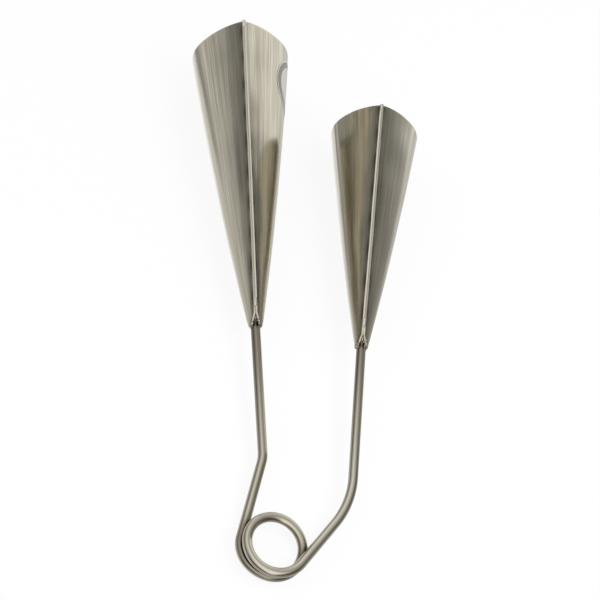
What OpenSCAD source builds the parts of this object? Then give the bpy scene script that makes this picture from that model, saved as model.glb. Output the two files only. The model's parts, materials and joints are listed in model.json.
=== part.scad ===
// Double agogo bell: two folded sheet-steel cones on one bent steel rod, whose
// single loop is the handle and the spring. The tool is drawn flat first: the loop's
// centre is the origin, the loop's axis is Z, the bells point along Y and their seams
// face up. It is then laid down on the loop and on the two bell mouths.

/* [Rod] */
// Diameter of the round rod
rod_d = 6; // [5:0.1:7]
// Length of rod held inside each bell's throat
rod_inside = 10; // [7:0.5:14]

/* [Loop] */
// Clear diameter inside the loop
loop_bore = 29.3; // [26:0.1:40]
// Height between the loop's first and last strand
loop_rise = 9.1; // [8.6:0.1:14]
// How far the large bell's end of the loop swings out
large_swing = 2.5; // [0:0.1:4]
// Turn over which that end comes in
large_swing_turn = 93; // [60:1:200]
// How far the small bell's end of the loop swings out
small_swing = 0.7; // [0:0.1:3]
// Turn over which that end comes in
small_swing_turn = 260; // [60:5:360]

/* [Large bell arm] */
// Lean of the lower stretch, towards the small bell
large_lean = 13.7; // [4:0.1:16]
// Turn back at the bend
large_bend_angle = 17.3; // [8:0.1:20]
// Radius of the bend, at the rod's centre line
large_bend_r = 24; // [14:1:40]
// Length from the loop to the bend's corner
large_low = 54.8; // [50:0.1:70]
// Length from the bend's corner to the bell's throat
large_up = 90.6; // [60:0.1:110]

/* [Small bell arm] */
// Lean of the lower stretch, away from the large bell
small_lean = 37; // [32:0.1:44]
// Turn back at the bend
small_bend_angle = 32.5; // [24:0.1:34]
// Radius of the bend, at the rod's centre line
small_bend_r = 61; // [24:1:70]
// Length from the loop to the bend's corner
small_low = 52.7; // [46:0.1:64]
// Length from the bend's corner to the bell's throat
small_up = 108.8; // [80:0.1:125]

/* [Large bell] */
// Length of the large bell
large_len = 210.8; // [180:0.2:220]
// Width across the large bell's mouth
large_mouth = 66; // [56:0.5:70]
// Swell of its sides over straight lines, halfway up
large_swell = 1.8; // [0:0.1:3]
// Height of its seam's fin over the folded corner
large_fin = 2.2; // [1:0.1:4]
// Slackness of the cone where it leaves the rod
large_flare = 0.55; // [0:0.05:1]
// How far its mouth's edge falls back at the seam
large_drop = 4.4; // [1:0.1:8]
// Turn of the bell about its own axis
large_turn = 13.5; // [0:0.1:20]

/* [Small bell] */
// Length of the small bell
small_len = 168; // [140:0.5:180]
// Width across the small bell's mouth
small_mouth = 58.8; // [48:0.2:62]
// Swell of its sides over straight lines, halfway up
small_swell = 1.2; // [0:0.1:3]
// Height of its seam's fin over the folded corner
small_fin = 2.5; // [1:0.1:4]
// Slackness of the cone where it leaves the rod
small_flare = 0.1; // [0:0.05:1]
// How far its mouth's edge falls back at the seam
small_drop = 5.3; // [1:0.1:8]
// Turn of the bell about its own axis
small_turn = 12.6; // [0:0.1:20]

/* [Folded sheet] */
// Thickness of the steel sheet
sheet = 1.1; // [0.8:0.05:1.5]
// Clearance between the rod and the throat around it
throat_clear = 0.05; // [0.04:0.01:0.2]
// Length over which the throat closes on the rod
throat_run = 4; // [2:0.5:8]
// Slope of the two sides that meet at the seam
seam_slope = 45; // [38:1:55]
// Turn from the widest side at which the round back gives way to the flatter side
side_from = 35; // [28:1:36]
// Gap between the two flanges of the seam
seam_gap = 0.16; // [0.1:0.02:0.4]
// Half width by which the flanges part at the throat
slot_half = 1.5; // [0.5:0.1:1.6]
// Length of the slot between the parted flanges
slot_len = 5; // [3:0.5:9]
// Length over which the fin grows from the throat
fin_run = 9; // [6:0.5:16]

/* [Welds] */
// Height of a weld bead on the seam's edges
tack_h = 0.4; // [0.2:0.05:0.8]
// Length of a weld bead
tack_len = 4; // [2:0.5:8]
// Distance from the mouth to the upper bead
tack_mouth = 0.8; // [0.5:0.1:6]
// Distance from the throat's edge to the lower bead
tack_throat = 9.5; // [9:0.5:16]
// Depth of the braze fillet along the rod
braze_len = 2.2; // [1.2:0.1:4]
// Diameter of the two brazed drops beside the slot
drop_d = 1.6; // [1:0.1:2]

/* [Blank label] */
// Length of the oval label along the bell
label_len = 43; // [30:1:50]
// Width of the oval label round the bell
label_w = 48; // [30:1:50]
// Distance from the mouth to the label's middle
label_from_mouth = 28.5; // [27:0.5:60]
// Turn of the label's middle from the bell's widest side
label_turn = -5; // [-20:1:0]
// Thickness of the label's foil
label_t = 0.2; // [0.1:0.05:0.5]

/* [Hidden] */

STEEL = [0.62, 0.59, 0.54];
SHEET_STEEL = [0.58, 0.56, 0.51];
WELD = [0.74, 0.72, 0.67];
BRAZE = [0.66, 0.63, 0.56];
FOIL = [0.45, 0.46, 0.46];

rod_r = rod_d / 2;
loop_r = loop_bore / 2 + rod_r;
// The straight stretch at each end of the loop is one rod diameter long.
lead = rod_d;
// Sides of the rod's skin, its rings in one turn of the loop and its steps in a bend.
rod_sides = 16;
turn_rings = 24;
bend_steps = 6;
// Facets of half a bell's round back and of its flatter side, its stations along the
// axis, and how much they crowd towards the throat.
back_steps = 14;
side_steps = 4;
bell_stations = 12;
station_crowding = 1.35;
// Power with which the fall-back of the mouth's edge fades towards the throat.
drop_fade = 3;
// Facets of a round solid, and how far a cutting solid reaches past what it cuts.
round_facets = 64;
drop_facets = 24;
overcut = 1;

// Angles at which the rod enters and leaves the loop: one full turn is added to the
// half turn or so between the two arms.
enter_a = 180 - large_lean;
leave_a = 720 - small_lean;
loop_rings = round(turn_rings * (leave_a - enter_a) / 360);

// ---- Small vector helpers ----

function unit(v) = v / norm(v);
function heading(lean) = [sin(lean), cos(lean), 0];
// Turn of a point about the axis v by a degrees.
function turned(p, a, v) =
    p * cos(a) + cross(v, p) * sin(a) + v * (v * p) * (1 - cos(a));
// The point of a list that lies lowest along n.
function lowest(points, n) =
    let (h = [for (p = points) p * n])
    points[search(min(h), h)[0]];

// ---- The loop's path ----

// Rises from 0 to 1 with a level start and end, so that the arms leave it flat.
function ease(u) = u - sin(360 * u) / (2 * PI);
function loop_z(a) = loop_rise * (ease((a - enter_a) / (leave_a - enter_a)) - 0.5);
// Falls from 1 to 0 with level ends, so that the arms leave along the loop's tangent.
function fade(u) = (1 + cos(180 * min(1, u))) / 2;
function strand_r(a) =
    loop_r + large_swing * fade((a - enter_a) / large_swing_turn)
    + small_swing * fade((leave_a - a) / small_swing_turn);
function loop_point(a) = [strand_r(a) * cos(a), strand_r(a) * sin(a), loop_z(a)];
loop_angles = [for (i = [0 : loop_rings]) enter_a + (leave_a - enter_a) * i / loop_rings];
large_root = loop_point(enter_a) + lead * heading(large_lean);
small_root = loop_point(leave_a) + lead * heading(small_lean);
loop_path = concat([large_root], [for (a = loop_angles) loop_point(a)], [small_root]);
function path_tangent(path, i) =
    unit(path[min(i + 1, len(path) - 1)] - path[max(i - 1, 0)]);
// A station is [point, direction]. The two at each end stand square to the arm there.
loop_stations = [
    for (i = [0 : len(loop_path) - 1])
        [loop_path[i],
            i < 2 ? -heading(large_lean)
            : i > len(loop_path) - 3 ? heading(small_lean)
            : path_tangent(loop_path, i)]
];

// ---- An arm's path ----

// A straight stretch, a bend to the left and another straight stretch. The two lengths
// run to the corner where the straight lines would meet.
function arm_stations(root, lean, low, bend, bend_r, up) =
    let (cut_back = bend_r * tan(bend / 2),
        centre = root + (low - cut_back) * heading(lean) + bend_r * heading(lean - 90),
        bend_end = centre - bend_r * heading(lean - bend - 90))
    concat(
        [[root, heading(lean)]],
        [for (i = [0 : bend_steps])
            let (a = lean - bend * i / bend_steps)
            [centre - bend_r * heading(a - 90), heading(a)]],
        [[bend_end + (up - cut_back) * heading(lean - bend), heading(lean - bend)]]
    );

// ---- The rod's skin, swept along stations as triangles ----

function ring(station) =
    let (e1 = unit(cross(station[1], [0, 0, 1])), e2 = cross(e1, station[1]))
    [for (k = [0 : rod_sides - 1])
        station[0] + rod_r * (cos(360 * k / rod_sides) * e1 + sin(360 * k / rod_sides) * e2)];
function rod_points(stations) = [for (s = stations) for (p = ring(s)) p];
// Faces of a closed skin over rings of n points each, with fans over both ends.
function skin_faces(rings, n) = concat(
    [for (i = [0 : rings - 2], k = [0 : n - 1])
        [i * n + k, i * n + (k + 1) % n, (i + 1) * n + (k + 1) % n]],
    [for (i = [0 : rings - 2], k = [0 : n - 1])
        [i * n + k, (i + 1) * n + (k + 1) % n, (i + 1) * n + k]],
    [for (k = [1 : n - 2]) [0, k + 1, k]],
    [for (k = [1 : n - 2]) let (b = (rings - 1) * n) [b, b + k, b + k + 1]]
);
module rod_length(stations) {
    polyhedron(rod_points(stations), skin_faces(len(stations), rod_sides), convexity = 6);
}

// Least gap between strands more than half a turn apart, measured on the centre line.
loop_gap = min([
    for (i = [1 : loop_rings + 1], j = [1 : loop_rings + 1])
        if (j - i > turn_rings / 2) norm(loop_path[j] - loop_path[i])
]) - rod_d;
echo(least_gap_between_strands = loop_gap);

// ---- The section of a folded bell ----
//
// A bell is [length, mouth width, swell, fin, flare, drop]. Its local frame has the
// rod's axis along Y, from the throat's edge, and the seam along +Z.

LARGE = [large_len, large_mouth, large_swell, large_fin, large_flare, large_drop];
SMALL = [small_len, small_mouth, small_swell, small_fin, small_flare, small_drop];

throat_half = rod_r + throat_clear + sheet;
// Half width of the section at a distance s from the throat's edge.
function half_width(bell, s) =
    let (u = s / bell[0], start = throat_half + bell[4])
    start + (bell[1] / 2 - start) * u + 4 * bell[2] * u * (1 - u)
    - bell[4] * pow(max(0, 1 - s / throat_run), 2);
// Half the distance between the middles of the two flanges.
function flange_x(s) = (seam_gap + sheet) / 2 + slot_half * max(0, 1 - s / slot_len);
// Height of the fin's edge over the axis.
function fin_z(bell, s) =
    half_width(bell, s) / sin(seam_slope) + bell[3] * min(1, s / fin_run);
// How far a point that lies off the axis by d falls back, fading towards the throat.
function fall_back(bell, s, d) =
    let (w = bell[1] / 2, ridge = w / sin(seam_slope))
    bell[5] * (d * d - w * w) / (ridge * ridge - w * w) * pow(s / bell[0], drop_fade);
// The side is a slack arc that runs on from the back's arc to the ridge. Its centre lies
// this many times the half width beyond the axis.
side_centre = (pow(1 / sin(seam_slope), 2) - 1) / (2 * (1 - sin(side_from) / sin(seam_slope)));
function side_point(w, r, a) =
    let (k = side_centre * w)
    [(r + k) * cos(a) - k * cos(side_from), (r + k) * sin(a) - k * sin(side_from)];
// Slope at which the side's middle line meets the flange's middle line.
function fold_slope(w, r, x) =
    let (k = side_centre * w) acos((x + k * cos(side_from)) / (r + k));

// Middle line of the right half of the section, from the back to the fin's edge, each
// point with its outward normal. The fold's normal is longer, as on a mitre.
function half_section(bell, s) =
    let (w = half_width(bell, s), r = w - sheet / 2, x = flange_x(s), fold = fold_slope(w, r, x))
    concat(
        [for (i = [0 : back_steps])
            let (a = -90 + (90 + side_from) * i / back_steps)
            [r * cos(a), r * sin(a), cos(a), sin(a)]],
        [for (i = [1 : side_steps])
            let (a = side_from + (fold - side_from) * i / side_steps, p = side_point(w, r, a))
            i < side_steps ? [p[0], p[1], cos(a), sin(a)] : [x, p[1], 1, tan(fold / 2)]],
        [[x, fin_z(bell, s), 1, 0]]
    );
// Both halves of the sheet's outline: the outer face from the left edge round the
// back to the right edge, and the inner face on the way back.
function mirrored(half) = concat(
    [for (i = [len(half) - 1 : -1 : 1]) [-half[i][0], half[i][1], -half[i][2], half[i][3]]],
    half
);
function offset_line(line, d) = [for (p = line) [p[0] + p[2] * d, p[1] + p[3] * d]];
function reversed(list) = [for (i = [len(list) - 1 : -1 : 0]) list[i]];
function sheet_outline(bell, s) =
    let (line = mirrored(half_section(bell, s)))
    concat(offset_line(line, sheet / 2), reversed(offset_line(line, -sheet / 2)));
function on_station(bell, s, p) = [p[0], s - fall_back(bell, s, norm(p)), p[1]];
// Stations crowd towards the throat, where the section changes fastest.
function station(bell, i) =
    i < 3 ? slot_len * i / 2
    : slot_len
        + (bell[0] - slot_len) * pow((i - 2) / (bell_stations - 2), station_crowding);
function shell_points(bell) = [
    for (i = [0 : bell_stations])
        let (s = station(bell, i))
        for (p = sheet_outline(bell, s)) on_station(bell, s, p)
];
section_size = len(sheet_outline(LARGE, slot_len));
outer_size = section_size / 2;
// The sheet's end is a bent strip, so its faces join the outer and inner lines.
function strip_faces(base, flip) = [
    for (k = [0 : outer_size - 2], half = [0, 1])
        let (a = base + k, b = base + k + 1,
            c = base + section_size - 1 - k, d = base + section_size - 2 - k,
            f = half == 0 ? [a, b, d] : [a, d, c])
        flip ? [f[2], f[1], f[0]] : f
];
function shell_faces() = concat(
    [for (i = [0 : bell_stations - 1], k = [0 : section_size - 1], half = [0, 1])
        let (n = section_size, a = i * n + k, b = i * n + (k + 1) % n,
            c = a + n, d = b + n)
        half == 0 ? [a, b, d] : [a, d, c]],
    strip_faces(0, true),
    strip_faces(bell_stations * section_size, false)
);

// ---- Where the bells sit in the flat frame ----

// A bell's place is [throat's edge, lean of its axis].
function arm_corner(root, lean, low) = root + (low - lead) * heading(lean);
large_axis = large_lean - large_bend_angle;
small_axis = small_lean - small_bend_angle;
large_throat = arm_corner(large_root, large_lean, large_low) + large_up * heading(large_axis);
small_throat = arm_corner(small_root, small_lean, small_low) + small_up * heading(small_axis);
function bell_to_flat(p, throat, lean, turn) =
    throat + turned(turned(p, -turn, [0, 1, 0]), -lean, [0, 0, 1]);
module on_large_arm() {
    translate(large_throat) rotate([0, 0, -large_axis]) rotate([0, -large_turn, 0]) children();
}
module on_small_arm() {
    translate(small_throat) rotate([0, 0, -small_axis]) rotate([0, -small_turn, 0]) children();
}

// ---- The pose at rest, on the loop and the two mouths ----

loop_points = rod_points(loop_stations);
large_flat = [
    for (p = shell_points(LARGE)) bell_to_flat(p, large_throat, large_axis, large_turn)
];
small_flat = [
    for (p = shell_points(SMALL)) bell_to_flat(p, small_throat, small_axis, small_turn)
];
// The plane under the three lowest points, found again as the tool tips onto it.
function rest_normal(n, steps) =
    steps == 0 ? n
    : let (a = lowest(loop_points, n), b = lowest(small_flat, n), c = lowest(large_flat, n))
    rest_normal(unit(cross(b - a, c - a)), steps - 1);
rest_n = rest_normal([0, 0, 1], 8);
rest_turn = acos(rest_n[2]);
rest_axis = unit(cross(rest_n, [0, 0, 1]));
laid = [
    for (p = concat(large_flat, small_flat, loop_points)) turned(p, rest_turn, rest_axis)
];
laid_min = [for (k = [0 : 2]) min([for (p = laid) p[k]])];
laid_max = [for (k = [0 : 2]) max([for (p = laid) p[k]])];
// The origin is under the middle of the laid tool's box.
laid_origin = [(laid_min[0] + laid_max[0]) / 2, (laid_min[1] + laid_max[1]) / 2, laid_min[2]];
module laid_down() {
    translate(-laid_origin) rotate(a = rest_turn, v = rest_axis) children();
}
function to_rest(p) = turned(p, rest_turn, rest_axis) - laid_origin;
echo(loop_centre = to_rest([0, 0, 0]), loop_axis = turned([0, 0, 1], rest_turn, rest_axis));
echo(large_throat = to_rest(large_throat), small_throat = to_rest(small_throat));
echo(box = laid_max - laid_min, rest_turn = rest_turn, rest_axis = rest_axis);

// ---- The rod ----

module large_bell_arm() {
    color(STEEL) laid_down() rod_length(arm_stations(
        large_root, large_lean, large_low - lead, large_bend_angle, large_bend_r,
        large_up + rod_inside
    ));
}
module small_bell_arm() {
    color(STEEL) laid_down() rod_length(arm_stations(
        small_root, small_lean, small_low - lead, small_bend_angle, small_bend_r,
        small_up + rod_inside
    ));
}
module spring_loop() {
    color(STEEL) laid_down() rod_length(loop_stations);
}

// ---- The bells ----

module bell_shell(bell) {
    polyhedron(shell_points(bell), shell_faces(), convexity = 6);
}
module large_bell_shell() {
    color(SHEET_STEEL) laid_down() on_large_arm() bell_shell(LARGE);
}
module small_bell_shell() {
    color(SHEET_STEEL) laid_down() on_small_arm() bell_shell(SMALL);
}

// ---- Welds on the seam's two edges ----

tack_half = sheet * 0.8;
tack_lift = 0.04;
tack_steps = 6;
// Height of a bead's ends, and of its shoulders, as a share of its crown.
tack_end = 0.3;
tack_shoulder = 0.8;
// Place of the shoulders as a share of the bead's half width.
shoulder_at = 0.6;
// Outline of a bead over the seam's edges at s, with its crown raised by h.
function bead_section(bell, s, h) =
    let (z = fin_z(bell, s) + tack_lift)
    [for (p = [[1, 0], [shoulder_at, tack_shoulder], [0, 1],
        [-shoulder_at, tack_shoulder], [-1, 0]])
        [tack_half * p[0], s - fall_back(bell, s, z), z + h * p[1]]];
function bead_points(bell, from) = [
    for (i = [0 : tack_steps])
        let (u = i / tack_steps, h = tack_h * (tack_end + (1 - tack_end) * sin(180 * u)))
        for (p = bead_section(bell, from + tack_len * u, h)) p
];
module seam_weld(bell) {
    for (from = [tack_throat, bell[0] - tack_mouth - tack_len])
        polyhedron(bead_points(bell, from), skin_faces(tack_steps + 1, 5), convexity = 2);
}
module large_bell_seam_weld() {
    color(WELD) laid_down() on_large_arm() seam_weld(LARGE);
}
module small_bell_seam_weld() {
    color(WELD) laid_down() on_small_arm() seam_weld(SMALL);
}

// ---- Braze between the throat's edge and the rod ----

braze_clear = 0.02;
// Half angle that the fillet leaves open in front of the slot.
braze_open = asin((flange_x(0) - sheet / 2) / rod_r);
module socket_braze() {
    inner = rod_r + braze_clear;
    outer = throat_half - throat_clear / 2;
    drop_r = drop_d / 2;
    rotate([90, 0, 0]) {
        rotate([0, 0, -270 + braze_open])
            rotate_extrude(angle = 360 - 2 * braze_open, $fn = round_facets)
                polygon([[inner, 0], [outer, 0], [inner + (outer - inner) / 3, braze_len / 3],
                    [inner, braze_len]]);
        for (side = [-1, 1])
            difference() {
                rotate([0, 0, 90 + side * braze_open])
                    translate([rod_r + drop_r / 2, 0, drop_r / 2])
                        sphere(r = drop_r, $fn = drop_facets);
                translate([0, 0, -overcut])
                    cylinder(h = braze_len + 2 * overcut, r = inner, $fn = round_facets);
                translate([-rod_d, -rod_d, -2 * drop_d]) cube([2 * rod_d, 2 * rod_d, 2 * drop_d]);
            }
    }
}
module large_bell_socket_braze() {
    color(BRAZE) laid_down() on_large_arm() socket_braze();
}
module small_bell_socket_braze() {
    color(BRAZE) laid_down() on_small_arm() socket_braze();
}

// ---- The blank oval label on the large bell ----

// Glue and air between the sheet and the foil, and the rings and sides of its mesh.
label_gap = 0.15;
label_rings = 6;
label_sides = 36;
// A place on the large bell's outer face: s along the axis and the turn a round it.
// Past the back's arc the same way round is spent on the side's slacker arc.
function on_side(s, a, lift) =
    let (w = half_width(LARGE, s), n = side_from + (a - side_from) / (1 + side_centre))
    on_station(LARGE, s,
        a < side_from ? (w + lift) * [cos(a), sin(a)] : side_point(w, w + lift, n));
// Points of the oval, ring by ring from its middle, at one height over the sheet.
function label_face(lift) = [
    for (i = [0 : label_rings], k = [0 : label_sides - 1])
        let (q = i / label_rings, b = 360 * k / label_sides,
            s = large_len - label_from_mouth + label_len / 2 * q * cos(b),
            a = label_turn + label_w / 2 * q * sin(b) / (half_width(LARGE, s) * PI / 180))
        if (i > 0 || k == 0) on_side(s, a, lift)
];
function label_index(i, k) = i == 0 ? 0 : 1 + (i - 1) * label_sides + k % label_sides;
label_count = 1 + label_rings * label_sides;
function label_fan(base, flip) = [
    for (i = [0 : label_rings - 1], k = [0 : label_sides - 1], half = [0, 1])
        let (a = base + label_index(i, k), b = base + label_index(i, k + 1),
            c = base + label_index(i + 1, k), d = base + label_index(i + 1, k + 1),
            f = half == 0 ? [a, c, d] : [a, d, b])
        if (half == 0 || i > 0) flip ? [f[2], f[1], f[0]] : f
];
function label_rim() = [
    for (k = [0 : label_sides - 1], half = [0, 1])
        let (a = label_index(label_rings, k), b = label_index(label_rings, k + 1),
            c = a + label_count, d = b + label_count)
        half == 0 ? [a, c, d] : [a, d, b]
];
module blank_label() {
    color(FOIL) laid_down() on_large_arm()
        polyhedron(
            concat(label_face(label_gap), label_face(label_gap + label_t)),
            concat(label_fan(0, false), label_fan(label_count, true), label_rim()),
            convexity = 4
        );
}

large_bell_arm();
spring_loop();
small_bell_arm();
large_bell_shell();
small_bell_shell();
large_bell_seam_weld();
small_bell_seam_weld();
large_bell_socket_braze();
small_bell_socket_braze();
blank_label();
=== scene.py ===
"""Looks of a double agogo bell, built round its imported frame.

The tool is drawn in the maker's flat frame, in millimetres: the loop's centre is the
origin, the loop's axis is Z, the bells point along Y and their seams face up. TableLay
then lays it down on the table, as the frame's own joint says.
"""

import json
import logging
import math
from dataclasses import dataclass, field
from enum import Enum

import bmesh
import bpy
import numpy as np
from bpy.types import ID, Material, Node, NodeSocket, NodeTree, Object
from mathutils import Matrix, Vector

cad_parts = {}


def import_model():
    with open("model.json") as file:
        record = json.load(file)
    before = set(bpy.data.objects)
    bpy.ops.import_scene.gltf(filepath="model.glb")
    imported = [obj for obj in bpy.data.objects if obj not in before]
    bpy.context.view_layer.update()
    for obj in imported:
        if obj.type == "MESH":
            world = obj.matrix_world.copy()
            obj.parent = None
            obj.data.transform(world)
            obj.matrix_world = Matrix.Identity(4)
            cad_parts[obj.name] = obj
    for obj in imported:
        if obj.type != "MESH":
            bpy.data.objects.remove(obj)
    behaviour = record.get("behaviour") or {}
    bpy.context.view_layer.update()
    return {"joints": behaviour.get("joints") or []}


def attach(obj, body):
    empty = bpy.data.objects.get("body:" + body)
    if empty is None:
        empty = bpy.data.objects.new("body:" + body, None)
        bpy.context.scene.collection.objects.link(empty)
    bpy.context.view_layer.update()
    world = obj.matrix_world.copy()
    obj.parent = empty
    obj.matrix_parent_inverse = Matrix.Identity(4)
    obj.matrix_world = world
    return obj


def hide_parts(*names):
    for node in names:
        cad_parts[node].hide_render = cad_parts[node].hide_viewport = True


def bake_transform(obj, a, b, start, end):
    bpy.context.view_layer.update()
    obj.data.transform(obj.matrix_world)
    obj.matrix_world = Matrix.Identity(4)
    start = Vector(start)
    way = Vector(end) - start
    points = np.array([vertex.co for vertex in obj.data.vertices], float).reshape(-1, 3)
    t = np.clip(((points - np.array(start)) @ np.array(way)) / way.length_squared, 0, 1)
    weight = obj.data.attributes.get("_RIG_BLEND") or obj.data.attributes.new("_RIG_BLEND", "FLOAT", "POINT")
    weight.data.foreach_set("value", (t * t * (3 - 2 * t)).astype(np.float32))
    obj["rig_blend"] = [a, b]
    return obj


MM = 0.001
SHARP_FROM = 40.0  # degrees between two faces, from which their edge is sharp
MERGE_WITHIN = 1e-6  # metres
PHASE_SPAN = 6.28  # radians, about a whole turn
STREAK_NOISE = {"Scale": 0.5, "Detail": 3.0, "Roughness": 0.6}  # one wave is two streaks
LARGE_SIDE = "large_bell_side"
SMALL_SIDE = "small_bell_side"

Face = tuple[int, ...]
Levels = tuple[tuple[float, float], ...]

log = logging.getLogger("agogo")


# ---- Small helpers ----


def turn(axis: str, degrees: float) -> np.ndarray:
    """Returns the 3x3 rotation about a coordinate axis, by the right-hand rule."""
    return np.array(Matrix.Rotation(math.radians(degrees), 3, axis))


def heading(lean: float) -> np.ndarray:
    """Returns the flat direction that leans from +Y towards +X by an angle in degrees."""
    return np.array([math.sin(math.radians(lean)), math.cos(math.radians(lean)), 0.0])


def both_halves(half: np.ndarray, sign: float | np.ndarray) -> np.ndarray:
    """Returns a mirrored half line and the half line, which share the first point."""
    return np.concatenate([(half * sign)[:0:-1], half])


def linear(hex_colour: str) -> tuple[float, float, float, float]:
    """Turns an sRGB hex colour to linear.

    Args:
        hex_colour: Six hex digits after a hash.

    Returns:
        Linear red, green and blue, and an alpha of 1.
    """
    levels = [int(hex_colour[i : i + 2], 16) / 255 for i in (1, 3, 5)]
    red, green, blue = (c / 12.92 if c <= 0.04045 else ((c + 0.055) / 1.055) ** 2.4 for c in levels)
    return red, green, blue, 1.0


def grey(level: float) -> tuple[float, float, float, float]:
    """Returns a linear grey with an alpha of 1."""
    return level, level, level, 1.0


def add_node(tree: NodeTree, kind: str, inputs: dict | None = None, **settings) -> Node:
    """Adds a node with its settings and links.

    Args:
        tree: The node tree that it goes into.
        kind: Blender's name for the node's type.
        inputs: Socket name or number to a value, or to the output socket that feeds it.
        **settings: Properties of the node itself.

    Returns:
        The new node.
    """
    node = tree.nodes.new(kind)
    for name, value in settings.items():
        setattr(node, name, value)
    for key, value in (inputs or {}).items():
        if isinstance(value, NodeSocket):
            tree.links.new(value, node.inputs[key])
        else:
            node.inputs[key].default_value = value
    return node


def set_stops(ramp: Node, stops: list[tuple[float, tuple]]) -> NodeSocket:
    """Sets the stops of a colour ramp.

    Args:
        ramp: The ramp's node, which has two stops so far.
        stops: Position and linear colour of each stop, from low to high.

    Returns:
        The ramp's colour output.
    """
    elements = ramp.color_ramp.elements
    while len(elements) < len(stops):
        elements.new(0.5)
    for element, (position, colour) in zip(elements, stops):
        element.position, element.color = position, colour
    return ramp.outputs["Color"]


def new_material(name: str) -> tuple[Material, NodeTree, Node]:
    """Makes a material.

    Args:
        name: Its name.

    Returns:
        The material, its node tree and its shader.
    """
    material = bpy.data.materials.new(name)
    material.use_nodes = True
    return material, material.node_tree, material.node_tree.nodes["Principled BSDF"]


def new_object(name: str, data: ID) -> Object:
    """Makes an object and puts it in the scene.

    Args:
        name: Its name.
        data: Its mesh, curve, lamp or camera.

    Returns:
        The new object, at the origin.
    """
    made = bpy.data.objects.new(name, data)
    bpy.context.scene.collection.objects.link(made)
    return made


def draft_lines(name: str, lines: list[np.ndarray]) -> Object:
    """Makes the curve that feeds a Geometry Nodes tree.

    Args:
        name: Its name.
        lines: Points of each line, in metres.

    Returns:
        The curve object.
    """
    curve = bpy.data.curves.new(name, "CURVE")
    curve.dimensions = "3D"
    for points in lines:
        spline = curve.splines.new("POLY")
        spline.points.add(len(points) - 1)
        spline.points.foreach_set("co", np.c_[points, np.ones(len(points))].ravel())
    return new_object(name, curve)


def open_tree(name: str, sockets: dict[str, str]) -> tuple[NodeTree, Node]:
    """Starts a Geometry Nodes tree.

    Args:
        name: The tree's name.
        sockets: Name of each input to the kind of its socket.

    Returns:
        The tree, and the node that gives its inputs.
    """
    tree = bpy.data.node_groups.new(name, "GeometryNodeTree")
    for key, kind in sockets.items():
        tree.interface.new_socket(key, in_out="INPUT", socket_type="NodeSocket" + kind)
    tree.interface.new_socket("Made", in_out="OUTPUT", socket_type="NodeSocketGeometry")
    return tree, add_node(tree, "NodeGroupInput")


def close_tree(tree: NodeTree, shape: NodeSocket, material: Material) -> None:
    """Ends a Geometry Nodes tree with smooth, real faces in one material.

    Args:
        tree: The tree.
        shape: What it has made.
        material: The finish of all its faces.
    """
    smooth = add_node(tree, "GeometryNodeSetShadeSmooth", {"Geometry": shape})
    real = add_node(tree, "GeometryNodeRealizeInstances", {"Geometry": smooth.outputs[0]})
    values = {"Geometry": real.outputs[0], "Material": material}
    dressed = add_node(tree, "GeometryNodeSetMaterial", values)
    add_node(tree, "NodeGroupOutput", {0: dressed.outputs[0]})


def grown(draft: Object, tree: NodeTree, values: dict[str, float | int], name: str) -> Object:
    """Runs a Geometry Nodes tree on a draft and keeps the result as a plain mesh.

    Args:
        draft: The object that feeds the tree. It is removed.
        tree: The tree.
        values: Value of each named input.
        name: The new piece's name.

    Returns:
        The new piece, with no modifier.
    """
    modifier = draft.modifiers.new("grow", "NODES")
    modifier.node_group = tree
    sockets = {item.name: item.identifier for item in tree.interface.items_tree}
    for key, value in values.items():
        modifier[sockets[key]] = value
    graph = bpy.context.evaluated_depsgraph_get()
    mesh = bpy.data.meshes.new_from_object(draft.evaluated_get(graph), depsgraph=graph)
    mesh.name = name
    bpy.data.objects.remove(draft)
    return new_object(name, mesh)


def merge_doubles(piece: Object) -> None:
    """Merges points that lie in the same place.

    Args:
        piece: The piece that they are in.
    """
    work = bmesh.new()
    work.from_mesh(piece.data)
    bmesh.ops.remove_doubles(work, verts=work.verts, dist=MERGE_WITHIN)
    work.to_mesh(piece.data)
    work.free()


# ---- Solids ----


@dataclass
class Patch:
    """Points and faces of one closed solid, with what its material reads at each point.

    Args:
        points: One row of three millimetres for each point.
        faces: Corner numbers of each face.
        slots: Material slot number of each face, or nothing where all are in slot 0.
        attributes: Name to one float, or one row of three, for each point.
    """

    points: np.ndarray
    faces: list[Face]
    slots: list[int] = field(default_factory=list)
    attributes: dict[str, np.ndarray] = field(default_factory=dict)

    def volume(self) -> float:
        """Works out the volume, which tells which way the faces point.

        Returns:
            The volume, below 0 where they point inwards.
        """
        total = 0.0
        for face in self.faces:
            corner = self.points[face[0]]
            for b, c in zip(face[1:-1], face[2:]):
                total += np.dot(corner, np.cross(self.points[b], self.points[c])) / 6
        return total

    def outward(self) -> "Patch":
        """Turns the faces outwards, if they point inwards.

        Returns:
            This solid.
        """
        if self.volume() < 0:
            self.faces = [face[::-1] for face in self.faces]
        return self


def ring_faces(rings: int, sides: int, first: int = 0) -> list[Face]:
    """Returns the faces between closed rings of points.

    Args:
        rings: Number of rings.
        sides: Points of each ring.
        first: Number of the first point.

    Returns:
        One four-sided face for each side between two rings.
    """
    faces = []
    for start in range(first, first + (rings - 1) * sides, sides):
        for k in range(sides):
            a, b = start + k, start + (k + 1) % sides
            faces.append((a, b, b + sides, a + sides))
    return faces


def swept(rings: np.ndarray) -> Patch:
    """Makes the solid through equal rings of points, with a flat cap at each end.

    Args:
        rings: Points of each ring.

    Returns:
        The solid.
    """
    count, sides = rings.shape[:2]
    last = (count - 1) * sides
    caps = [tuple(range(sides))[::-1], tuple(range(last, last + sides))]
    return Patch(rings.reshape(-1, 3), ring_faces(count, sides) + caps)


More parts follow.
